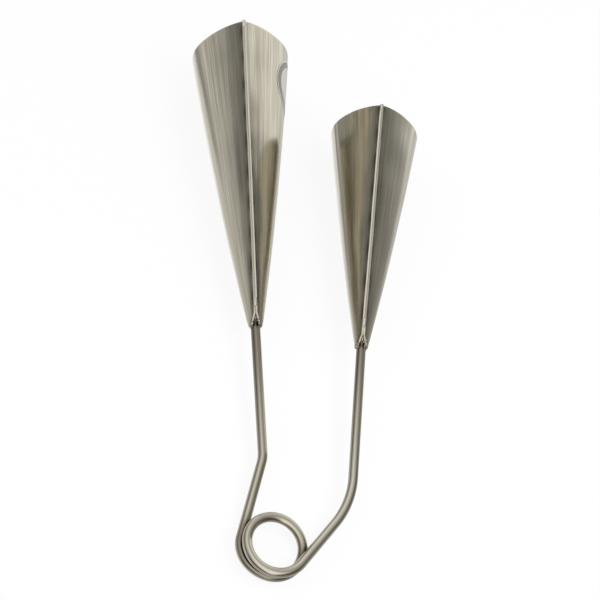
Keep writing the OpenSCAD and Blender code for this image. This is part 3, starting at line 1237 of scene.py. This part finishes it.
    def side_point(self, s: np.ndarray, a: np.ndarray, lift: float) -> np.ndarray:
        """Works out points over the outer face.

        Args:
            s: Distance from the throat's edge.
            a: Way round from the widest side, in radians, on along the flat side.
            lift: Height over the sheet.

        Returns:
            The points, in the bell's own frame.
        """
        start = math.radians(self.side_from)
        w = self.half_width(s)
        behind = np.where(a > start, self.crown * w, 0)
        facing = np.minimum(a, start) + np.maximum(a - start, 0) / (1 + self.crown)
        x = (w + lift + behind) * np.cos(facing) - behind * math.cos(start)
        z = (w + lift + behind) * np.sin(facing) - behind * math.sin(start)
        return np.stack([x, s - self.fall_back(s, np.hypot(x, z)), z], -1)

    def seam_line(self, start: float, run: float, sunk: float, count: int) -> np.ndarray:
        """Works out points along the fin's edge.

        Args:
            start: Distance from the throat's edge to the first point.
            run: Length of the line.
            sunk: How deep under the edge it lies.
            count: Number of points.

        Returns:
            The points, in the flat frame.
        """
        s = np.linspace(start, start + run, count)
        z = self.fin_z(s) - sunk
        return self.to_flat(np.stack([0 * s, s - self.fall_back(s, z), z], -1))


@dataclass
class TackWelds:
    """Short weld beads that close the seam near the mouth and near the throat.

    Args:
        bell: The bell that they close.
        run: Length of a bead.
        from_mouth: Distance from the mouth to the upper bead.
        from_throat: Distance from the throat's edge to the lower bead.
        ripple_step: Distance between two ripples of a bead.
        half_w: Half width of a bead.
        height: Height of a bead over the sheet's edges.
        sunk: How deep under the fin's edge a bead's middle lies.
        points: Points of a bead's line.
        smallest: Size of the smallest ripple, as a share of an even one.
        largest: The same for the largest.
        ripple_sides: Faces round a ripple.
        ripple_rings: Faces from one pole of a ripple to the other.
    """

    bell: FoldedBell
    run: float = 4.0
    from_mouth: float = 0.8
    from_throat: float = 9.5
    ripple_step: float = 0.55
    half_w: float = 0.95
    height: float = 0.55
    sunk: float = 0.1
    points: int = 12
    smallest: float = 0.82
    largest: float = 1.12
    ripple_sides: int = 20
    ripple_rings: int = 12

    def ripple_tree(self, material: Material) -> NodeTree:
        """Builds the Geometry Nodes that lay overlapping ripples along the bead's line.

        Args:
            material: The bead's finish.

        Returns:
            The tree, with inputs for the ripples' step, size and seed.
        """
        sockets = {"Line": "Geometry", "Step": "Float", "Half Width": "Float"}
        sockets |= {"Height": "Float", "Seed": "Int"}
        tree, given = open_tree("weld_ripples", sockets)
        step, wide, high, seed = (given.outputs[key] for key in list(sockets)[1:])
        line = {"Curve": given.outputs["Line"], "Length": step}
        spots = add_node(tree, "GeometryNodeCurveToPoints", line, mode="LENGTH")
        ball = {"Segments": self.ripple_sides, "Rings": self.ripple_rings, "Radius": 1.0}
        ripple = add_node(tree, "GeometryNodeMeshUVSphere", ball).outputs["Mesh"]
        size = add_node(tree, "ShaderNodeCombineXYZ", {"X": wide, "Y": high, "Z": wide}).outputs[0]
        spread = {2: self.smallest, 3: self.largest, "Seed": seed}
        uneven = add_node(tree, "FunctionNodeRandomValue", spread).outputs[1]
        sizes = {0: size, "Scale": uneven}
        scale = add_node(tree, "ShaderNodeVectorMath", sizes, operation="SCALE").outputs[0]
        laid = {
            "Points": spots.outputs["Points"], "Instance": ripple,
            "Rotation": spots.outputs["Rotation"], "Scale": scale,
        }
        close_tree(tree, add_node(tree, "GeometryNodeInstanceOnPoints", laid).outputs[0], material)
        return tree

    def build(self, lay: TableLay, material: Material) -> Object:
        """Makes both beads as one plain mesh.

        Args:
            lay: Where the flat drawing lies.
            material: The bead's finish.

        Returns:
            The welds of this bell.
        """
        starts = (self.from_throat, self.bell.length - self.from_mouth - self.run)
        size = (self.run, self.sunk, self.points)
        lines = [lay.place(self.bell.seam_line(start, *size)) for start in starts]
        draft = draft_lines("bead_line", lines)
        draft.data.twist_mode = "Z_UP"
        values = {
            "Step": self.ripple_step * MM, "Half Width": self.half_w * MM,
            "Height": self.height * MM, "Seed": self.bell.seed,
        }
        return grown(draft, self.ripple_tree(material), values, self.bell.name + "_seam_welds")


@dataclass
class SocketBraze:
    """The ragged braze between the throat's edge and the rod, with its frozen drops.

    Args:
        bell: The bell that it holds.
        run: How far the fillet reaches down the rod.
        lap: How far it wets the outside of the cone.
        ragged: How uneven its lower edge is.
        edge_waves: That unevenness: share, waves round the rod, and shift of each wave
            as a multiple of the bell's seed.
        lap_uneven: Share by which the lap varies.
        lap_waves: Waves of that round the rod.
        rod_clear: Gap between the fillet's skin and the rod's, so that both can be seen.
        hole: Length of the hole that stays open where the slot meets the rod.
        steps: Sections of the fillet round the rod.
        wets: How far the web, which is the braze in the slot, wets each flange.
        web_over: How far it runs on past the slot.
        web_sunk: How deep it reaches into the rod, and how deep it stays under the fin.
        web_lump: Share by which its height varies, and radians of that in a millimetre.
        web_sag: How far its lower end sags at both sides.
        web_rings: Sections of it.
        web_sides: Points of each section.
        drop_wide: Half width of a drop, as a share of its radius.
        drop_long: Least and greatest half length, as shares of the same.
        drop_high: Half height, as a share of the same.
        drop_dents: Depth of its dents round it and from pole to pole, as shares.
        drop_rings: Rings of points of a drop, between its poles.
        drop_sides: Points of each ring.
        drops: The frozen drops: place to the right, place up, depth and radius of each.
    """

    bell: FoldedBell
    run: float = 1.3
    lap: float = 1.2
    ragged: float = 0.9
    edge_waves: tuple[tuple[float, int, int], ...] = ((1.0, 3, 1), (0.6, 7, 2), (0.4, 13, 5))
    lap_uneven: float = 0.3
    lap_waves: int = 5
    rod_clear: float = 0.01
    hole: float = 1.3
    steps: int = 90
    wets: float = 0.22
    web_over: float = 0.6
    web_sunk: tuple[float, float] = (0.2, 0.05)
    web_lump: tuple[float, float] = (0.12, 4.1)
    web_sag: float = 0.35
    web_rings: int = 12
    web_sides: int = 20
    drop_wide: float = 0.95
    drop_long: tuple[float, float] = (1.0, 1.3)
    drop_high: float = 0.9
    drop_dents: tuple[float, float] = (0.10, 0.08)
    drop_rings: int = 9
    drop_sides: int = 18
    drops: tuple[tuple[float, float, float, float], ...] = (
        (-2.3, -0.2, 1.5, 0.9), (2.35, -0.3, 1.2, 1.05), (2.1, 1.5, 0.2, 0.75),
        (0.5, 2.7, 0.1, 0.55), (1.0, 0.9, 0.9, 0.5),
    )

    def reach(self, angle: np.ndarray) -> np.ndarray:
        """Works out how far the fillet runs down the rod.

        Args:
            angle: Angles about the rod, in radians.

        Returns:
            The reach at each angle.
        """
        wave = sum(
            share * np.sin(count * angle + shift * self.bell.seed)
            for share, count, shift in self.edge_waves
        )
        return self.run + self.ragged * wave / 2

    def fillet(self) -> Patch:
        """Makes the fillet round the rod, which is open at the slot.

        Returns:
            One closed solid in the bell's own frame.
        """
        bell = self.bell
        open_half = math.asin((bell.flange_x(0.0) - bell.sheet / 2) / bell.rod_r)
        angles = np.linspace(math.pi / 2 + open_half, 5 * math.pi / 2 - open_half, self.steps)
        inner, outer = bell.rod_r + self.rod_clear, bell.rod_r + bell.throat_clear + bell.sheet
        rings = []
        for a, reach in zip(angles, self.reach(angles)):
            uneven = self.lap_uneven * math.sin(self.lap_waves * a + bell.seed)
            lap = self.lap * (1 - self.lap_uneven + uneven)
            lap_r = float(bell.half_width(lap))
            # The bead's outline as drawn: distance from the rod's axis and place along
            # it, down the rod, round the ragged edge and up over the cone.
            profile = np.array([
                (inner, 0.3), (inner, -reach), (inner + 0.18, -reach - 0.05),
                (inner + 0.42, -reach * 0.62), (inner + 0.75, -reach * 0.28),
                (outer - 0.1, -0.32), (outer + 0.12, -0.08), (outer + 0.2, 0.3),
                (lap_r + 0.12, lap * 0.7), (lap_r - 0.02, lap), (outer - 0.4, 0.3),
            ])
            off, along = profile.T
            rings.append(np.stack([off * math.cos(a), along, off * math.sin(a)], -1))
        return swept(np.array(rings))

    def web(self) -> Patch:
        """Makes the web, which fills the slot above its hole.

        Returns:
            One closed solid in the bell's own frame.
        """
        bell = self.bell
        turns = np.linspace(0, 2 * math.pi, self.web_sides + 1)[:-1]
        (in_rod, under_fin), (lump, lumps) = self.web_sunk, self.web_lump
        rings = []
        for s in np.linspace(self.hole, bell.slot_len + self.web_over, self.web_rings):
            half_x = bell.flange_x(s) - bell.sheet / 2 + self.wets
            low, high = bell.rod_r - in_rod, float(bell.fin_z(s)) - under_fin
            uneven = 1 + lump * math.sin(lumps * s + bell.seed)
            z = (low + high) / 2 + (high - low) / 2 * uneven * np.sin(turns)
            sag = self.web_sag * np.cos(turns) ** 2 if s == self.hole else 0 * turns
            rings.append(np.stack([half_x * np.cos(turns), s - sag, z], -1))
        return swept(np.array(rings))

    def drop(self, x: float, s: float, under: float, radius: float) -> Patch:
        """Makes one frozen drop.

        Args:
            x: Distance from the seam's middle, to the right.
            s: Distance from the throat's edge.
            under: Depth of its middle under the fin's edge.
            radius: Its radius.

        Returns:
            One closed solid in the bell's own frame.
        """
        rng = np.random.default_rng(self.bell.seed * 10 + round(10 * radius))
        centre = np.array([x, s, float(self.bell.fin_z(max(s, 0.0))) - under])
        size = radius * np.array([self.drop_wide, rng.uniform(*self.drop_long), self.drop_high])
        lat = np.linspace(-math.pi / 2, math.pi / 2, self.drop_rings + 2)[1:-1, None]
        lon = np.linspace(0, 2 * math.pi, self.drop_sides + 1)[None, :-1]
        dents = rng.uniform(0, PHASE_SPAN, 3)
        around, upwards = self.drop_dents
        bulge = 1 + around * np.sin(3 * lon + dents[0]) * np.cos(lat)
        bulge += upwards * np.sin(2 * lat + dents[1])
        flat = [np.cos(lat) * np.cos(lon), np.cos(lat) * np.sin(lon)]
        way = np.stack(flat + [np.sin(lat) + 0 * lon], -1)
        skin = centre + size * (way * bulge[..., None]).reshape(-1, 3)
        pole = size * [0, 0, 1]
        n, last = self.drop_sides, self.drop_rings * self.drop_sides + 1
        faces = [(0, 1 + (k + 1) % n, 1 + k) for k in range(n)] + ring_faces(self.drop_rings, n, 1)
        faces += [(last - n + k, last - n + (k + 1) % n, last) for k in range(n)]
        return Patch(np.concatenate([[centre - pole], skin, [centre + pole]]), faces)

    def build(self, lay: TableLay, material: Material) -> Object:
        """Makes the fillet, the web and the drops as one piece.

        Args:
            lay: Where the flat drawing lies.
            material: The braze's finish.

        Returns:
            The braze of this bell.
        """
        solid = join([self.fillet(), self.web()] + [self.drop(*place) for place in self.drops])
        solid.points = self.bell.to_flat(solid.points)
        return lay.mesh_object(self.bell.name + "_braze", solid, [material])


@dataclass
class BlankLabel:
    """The oval foil label on the large bell's side, with nothing written on it.

    Args:
        bell: The bell that it sticks to.
        along: Its length along the bell.
        across: Its width round the bell.
        from_mouth: Distance from the mouth to its middle.
        turned: Turn of its middle from the bell's widest side, in degrees.
        foil: Its thickness over the glue.
        glue: Thickness of the glue under it.
        lift: Height of the foil's underside over the sheet's even shape.
        rim: Thickness of its pressed edge, as a share of the middle's.
        rings: Rings of points from its middle to its edge.
        sides: Points of each ring.
    """

    bell: FoldedBell
    along: float = 43.0
    across: float = 48.0
    from_mouth: float = 28.5
    turned: float = -5.0
    foil: float = 0.12
    glue: float = 0.05
    lift: float = 0.14
    rim: float = 0.35
    rings: int = 26
    sides: int = 96

    def solid(self) -> Patch:
        """Makes the foil.

        Returns:
            One closed solid in the flat frame, with the share of the oval's radius.
        """
        turns = np.linspace(0, 2 * math.pi, self.sides + 1)[:-1]
        points, oval = [], []
        for height in (-self.glue, self.foil):
            for i in range(self.rings + 1):
                q = i / self.rings
                s = self.bell.length - self.from_mouth + self.along / 2 * q * np.cos(turns)
                a = self.across / 2 * q * np.sin(turns) / self.bell.half_width(s)
                edge = self.rim if i == self.rings else 1.0
                lift = self.lift + height * edge
                points.append(self.bell.side_point(s, math.radians(self.turned) + a, lift))
                oval.append(np.full(self.sides, q))
        layer, last = (self.rings + 1) * self.sides, self.rings * self.sides
        under = ring_faces(self.rings + 1, self.sides)
        over = [tuple(i + layer for i in (face[0], *face[:0:-1])) for face in under]
        around = [(last + k, last + (k + 1) % self.sides) for k in range(self.sides)]
        faces = under + over + [(a, b, b + layer, a + layer) for a, b in around]
        attributes = {"oval": np.concatenate(oval)}
        return Patch(self.bell.to_flat(np.concatenate(points)), faces, attributes=attributes)

    def build(self, lay: TableLay) -> Object:
        """Makes the label, with its middle ring merged to one point on each face.

        Args:
            lay: Where the flat drawing lies.

        Returns:
            The label.
        """
        piece = lay.mesh_object("blank_foil_label", self.solid(), [FoilLabel().build()])
        merge_doubles(piece)
        return piece


# ---- The studio ----


@dataclass
class Studio:
    """Pale floor, soft light and the camera at the photograph's place.

    The camera's place is given about the loop's centre in the flat frame, in mm. The room
    is what the metal mirrors: angles from overhead towards the small bell's side, in
    degrees, with the level of light there.

    Args:
        distance: Distance of the camera from the flat frame's plane, along its view.
        tilt: Tilt of the view from straight down, towards the handle.
        yaw: Turn of the view to the small bell's side.
        roll: Roll about the view.
        shift_x: The loop's centre from the middle of the view, to the right.
        shift_y: The loop's centre from the middle of the view, upwards.
        focal_px: Focal length in pixels of the photograph.
        frame_px: Width of the photograph.
        sensor: Width of the camera's sensor.
        far_clip: Distance beyond which the camera sees nothing, in metres.
        brightest: The brightest level that the metal can mirror.
        left_room: The room on the large bell's side.
        right_room: The room on the small bell's side.
        far_right_room: The same, beyond the bells' mouths.
        front_room: The room in front of the handle, all the way round.
        far_span: Sines of the elevation along the tool between which the far part starts.
        front_span: The same for the front part, towards the handle.
        dark_line: Angle of the table's dark far edge, in degrees, at the near part's end.
        dark_line_w: Half width of that edge, in degrees.
        dark_line_slant: How many degrees it turns as the elevation's sine grows by one.
        dark_line_span: Sines of the elevation between which it fades in.
        dark_line_level: Share of the light that is left in it.
        dark_line_soft: Where its soft border starts and ends, in half widths.
        table_half: Half the table top's width, in metres.
        table: Grey of the table top.
        glow: Share of plain white in how the camera sees the table top.
        soft_grey: Level of the white room's light on the tool.
        boxes: The soft boxes: name, place and side in metres, and power in watts.
    """

    distance: float = 992.341
    tilt: float = 30.697
    yaw: float = 17.822
    roll: float = 0.182
    shift_x: float = -14.601
    shift_y: float = -143.745
    focal_px: float = 1697.68
    frame_px: float = 600.0
    sensor: float = 36.0
    far_clip: float = 20.0
    brightest: float = 1.5
    left_room: Levels = (
        (-180, 1.15), (-150, 1.15), (-135, 1.0), (-118, 0.88), (-95, 0.78), (-88, 0.52),
        (-82, 0.34), (-75, 0.2), (-62, 0.45), (-45, 0.8), (-28, 1.15), (-12, 1.4),
    )
    right_room: Levels = (
        (8, 1.0), (30, 0.6), (60, 0.25), (70, 0.16), (80, 0.33), (90, 0.36), (100, 0.48),
        (120, 0.58), (150, 0.72), (180, 1.0),
    )
    far_right_room: Levels = (
        (8, 1.0), (30, 0.85), (58, 1.15), (80, 1.25), (100, 1.25), (120, 0.9), (150, 0.75),
        (180, 1.0),
    )
    front_room: Levels = (
        (-180, 0.6), (-110, 0.6), (-95, 0.15), (-75, 0.1), (-55, 0.6), (-25, 1.5), (25, 1.5),
        (42, 0.7), (58, 0.1), (85, 0.12), (105, 0.4), (180, 0.6),
    )
    far_span: tuple[float, float] = (0.41, 0.455)
    front_span: tuple[float, float] = (-0.15, -0.45)
    dark_line: float = -118.0
    dark_line_w: float = 5.5
    dark_line_slant: float = 150.0
    dark_line_span: tuple[float, float] = (0.36, 0.48)
    dark_line_level: float = 0.25
    dark_line_soft: tuple[float, float] = (0.3, 1.5)
    table_half: float = 3.0
    table: float = 0.86
    glow: float = 0.9
    soft_grey: float = 0.62
    boxes: tuple[tuple[str, tuple[float, float, float], float, float], ...] = (
        ("key_box", (0.55, -0.3, 1.1), 0.7, 9.0), ("fill_box", (-0.9, 0.2, 0.9), 0.8, 3.0),
    )

    def camera(self, lay: TableLay) -> None:
        """Makes the camera at the photograph's viewing angle.

        Args:
            lay: Where the flat drawing lies.
        """
        axes = turn("Z", self.roll) @ turn("X", -self.tilt) @ turn("Y", self.yaw)
        data = bpy.data.cameras.new("camera")
        data.lens = self.focal_px / self.frame_px * self.sensor
        data.sensor_width = self.sensor
        data.clip_end = self.far_clip
        matrix = Matrix(lay.rotation @ axes.T).to_4x4()
        place = lay.place(axes.T @ [-self.shift_x, -self.shift_y, self.distance])
        matrix.translation = Vector(place)
        camera = new_object("camera", data)
        camera.matrix_world = matrix
        bpy.context.scene.camera = camera

    def floor(self) -> None:
        """Makes the pale table top, which looks white and keeps the tool's shadow."""
        half = self.table_half
        mesh = bpy.data.meshes.new("floor")
        corners = [(-half, -half, 0), (half, -half, 0), (half, half, 0), (-half, half, 0)]
        mesh.from_pydata(corners, [], [(0, 1, 2, 3)])
        material, tree, _ = new_material("white_table")
        tree.nodes.clear()
        ray = add_node(tree, "ShaderNodeLightPath").outputs
        shade = add_node(tree, "ShaderNodeBsdfDiffuse", {"Color": grey(self.table)}).outputs[0]
        white = add_node(tree, "ShaderNodeEmission", {"Color": grey(1), "Strength": 1.0}).outputs[0]
        clear = add_node(tree, "ShaderNodeBsdfTransparent").outputs[0]
        product = {0: ray["Is Camera Ray"], 1: self.glow}
        share = add_node(tree, "ShaderNodeMath", product, operation="MULTIPLY").outputs[0]
        top = shade
        for part, other in ((share, white), (ray["Is Glossy Ray"], clear)):
            top = add_node(tree, "ShaderNodeMixShader", {0: part, 1: top, 2: other}).outputs[0]
        add_node(tree, "ShaderNodeOutputMaterial", {0: top})
        mesh.materials.append(material)
        new_object("floor", mesh)

    @staticmethod
    def soft_box(name: str, place: tuple[float, float, float], size: float, power: float) -> None:
        """Makes one square soft box that faces the tool.

        Args:
            name: The light's name.
            place: Where it stands, in metres.
            size: Its side, in metres.
            power: Its power, in watts.
        """
        data = bpy.data.lights.new(name, "AREA")
        data.size, data.energy = size, power
        lamp = new_object(name, data)
        lamp.location = place
        lamp.rotation_euler = (-Vector(place)).to_track_quat("-Z", "Y").to_euler()
        lamp.visible_glossy = False

    def world(self) -> None:
        """Makes the white room, at a level where a colour renders about as written."""
        world = bpy.data.worlds.new("white_room")
        bpy.context.scene.world = world
        world.use_nodes = True
        tree = world.node_tree
        tree.nodes.clear()
        ray = add_node(tree, "ShaderNodeLightPath").outputs
        place = add_node(tree, "ShaderNodeTexCoord").outputs["Generated"]
        way = add_node(tree, "ShaderNodeSeparateXYZ", {0: place}).outputs
        sides = {0: way["X"], 1: way["Z"]}
        angle = add_node(tree, "ShaderNodeMath", sides, operation="ARCTAN2").outputs[0]
        spans = {0: angle, 1: -math.pi, 2: math.pi, 3: 0.0, 4: 1.0}
        share = add_node(tree, "ShaderNodeMapRange", spans).outputs[0]
        left = self.left_room
        rooms = (left + self.right_room, left + self.far_right_room, self.front_room)
        seen, far, front = (
            set_stops(
                add_node(tree, "ShaderNodeValToRGB", {"Fac": share}),
                [(0.5 + at / 360, grey(level / self.brightest)) for at, level in room],
            )
            for room in rooms
        )
        for span, other in ((self.far_span, far), (self.front_span, front)):
            limits = {0: way["Y"], 1: span[0], 2: span[1]}
            part = add_node(tree, "ShaderNodeMapRange", limits).outputs[0]
            mix = {0: part, 6: seen, 7: other}
            seen = add_node(tree, "ShaderNodeMix", mix, data_type="RGBA").outputs[2]
        strength = self.edge_level(tree, angle, way["Y"])
        lights = ((seen, strength), (grey(self.soft_grey), 1.0), (grey(1), 1.0))
        mirrored, room, white = (
            add_node(tree, "ShaderNodeBackground", {"Color": colour, "Strength": level}).outputs[0]
            for colour, level in lights
        )
        for key, other in (("Is Glossy Ray", mirrored), ("Is Camera Ray", white)):
            mix = {0: ray[key], 1: room, 2: other}
            room = add_node(tree, "ShaderNodeMixShader", mix).outputs[0]
        add_node(tree, "ShaderNodeOutputWorld", {0: room})

    def edge_level(self, tree: NodeTree, angle: NodeSocket, rise: NodeSocket) -> NodeSocket:
        """Works out the room's strength, which falls along the slanting dark edge.

        Args:
            tree: The world's node tree.
            angle: Angle from overhead, in radians.
            rise: Sine of the elevation along the tool.

        Returns:
            The strength of the light that the metal mirrors.
        """
        slant, half = math.radians(self.dark_line_slant), math.radians(self.dark_line_w)
        start = -math.radians(self.dark_line) - slant * self.far_span[1]
        line = {0: rise, 1: slant, 2: start}
        turned = add_node(tree, "ShaderNodeMath", line, operation="MULTIPLY_ADD").outputs[0]
        off = add_node(tree, "ShaderNodeMath", {0: angle, 1: turned}, operation="ADD").outputs[0]
        apart = add_node(tree, "ShaderNodeMath", {0: off}, operation="ABSOLUTE").outputs[0]
        full, (low, high) = self.brightest, self.dark_line_span
        fade = {0: rise, 1: low, 2: high, 3: full, 4: self.dark_line_level * full}
        depth = add_node(tree, "ShaderNodeMapRange", fade).outputs[0]
        inner, outer = self.dark_line_soft
        soft = {0: apart, 1: half * inner, 2: half * outer, 3: depth, 4: full}
        return add_node(tree, "ShaderNodeMapRange", soft).outputs[0]

    def build(self, lay: TableLay) -> None:
        """Sets up the camera, floor, lights and view.

        Args:
            lay: Where the flat drawing lies.
        """
        self.camera(lay)
        self.floor()
        self.world()
        for box in self.boxes:
            self.soft_box(*box)
        bpy.context.scene.view_settings.view_transform = "Standard"


# ---- The whole tool ----


@dataclass
class AgogoBell:
    """The double agogo: the rod, two folded bells, their welds and brazes, and the label.

    Args:
        rod: The rod.
        lay: Where the flat drawing lies.
    """

    rod: BentRod
    lay: TableLay

    def bells(self) -> list[FoldedBell]:
        """Sets the sizes of both bells.

        Returns:
            The large and the small bell, each on its arm.
        """
        large, small = self.rod.large, self.rod.small
        return [
            FoldedBell(
                "large_bell", LARGE_SIDE, length=210.8, mouth=66.0, swell=1.8, fin=2.2, flare=0.55,
                drop=4.4, turned=13.5, throat=self.rod.throat(large), lean=large.bell_lean,
                tip_tilt=-12.0, tint_shade_to=0.62, seed=3,
            ),
            FoldedBell(
                "small_bell", SMALL_SIDE, length=168.0, mouth=58.8, swell=1.2, fin=2.5, flare=0.1,
                drop=5.3, turned=12.6, throat=self.rod.throat(small), lean=small.bell_lean,
                tip_tilt=12.0, tint_shade_to=1.3, seed=8,
            ),
        ]

    def build_rod(self) -> None:
        """Makes the rod, which bends between the two sides along the loop's own axis."""
        piece = self.rod.build(self.lay)
        gap = self.rod.loop_rise / 2 - self.rod.radius
        low, high = self.lay.place(np.array([[0, 0, -gap], [0, 0, gap]]))
        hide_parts("spring_loop", "large_bell_arm", "small_bell_arm")
        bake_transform(piece, LARGE_SIDE, SMALL_SIDE, start=tuple(low), end=tuple(high))
        report(piece)

    def finish_piece(self, piece: Object, body: str, node: str) -> None:
        """Tells the frame what a piece is.

        Args:
            piece: The piece.
            body: The body that it rides on.
            node: The node that it stands for.
        """
        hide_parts(node)
        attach(piece, body)
        report(piece)

    def build(self) -> None:
        """Makes every piece of the tool."""
        self.build_rod()
        sheet, inside = BRUSHED_SHEET.build(), DULL_SHEET.build()
        bead, braze = PLATED_BEAD.build(), PLATED_BRAZE.build()
        bells = self.bells()
        for bell in bells:
            shell = self.lay.mesh_object(bell.name + "_sheet", bell.shell(), [sheet, inside])
            self.finish_piece(shell, bell.body, bell.name + "_shell")
            welds = TackWelds(bell).build(self.lay, bead)
            self.finish_piece(welds, bell.body, bell.name + "_seam_weld")
            fillet = SocketBraze(bell).build(self.lay, braze)
            self.finish_piece(fillet, bell.body, bell.name + "_socket_braze")
        label = BlankLabel(bells[0]).build(self.lay)
        self.finish_piece(label, LARGE_SIDE, "blank_label")


def report(piece: Object) -> None:
    """Logs one piece's name and size."""
    lengths = ", ".join(f"{d / MM:.1f}" for d in piece.dimensions)
    log.info("%s: %d faces, %s mm", piece.name, len(piece.data.polygons), lengths)


def main() -> None:
    """Builds the studio and the tool round the frame, and keeps both boxes."""
    logging.basicConfig(level=logging.INFO, format="%(name)s %(message)s")
    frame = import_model()
    lay = TableLay.from_joint(frame["joints"][0])
    Studio().build(lay)
    large = Arm(lean=13.7, bend=17.3, bend_r=24.0, low=54.8, up=90.6, swing=2.5, swing_turn=93.0)
    small = Arm(lean=37.0, bend=32.5, bend_r=61.0, low=52.7, up=108.8, swing=0.7, swing_turn=260.0)
    AgogoBell(BentRod(large, small), lay).build()


if __name__ == "__main__":
    main()
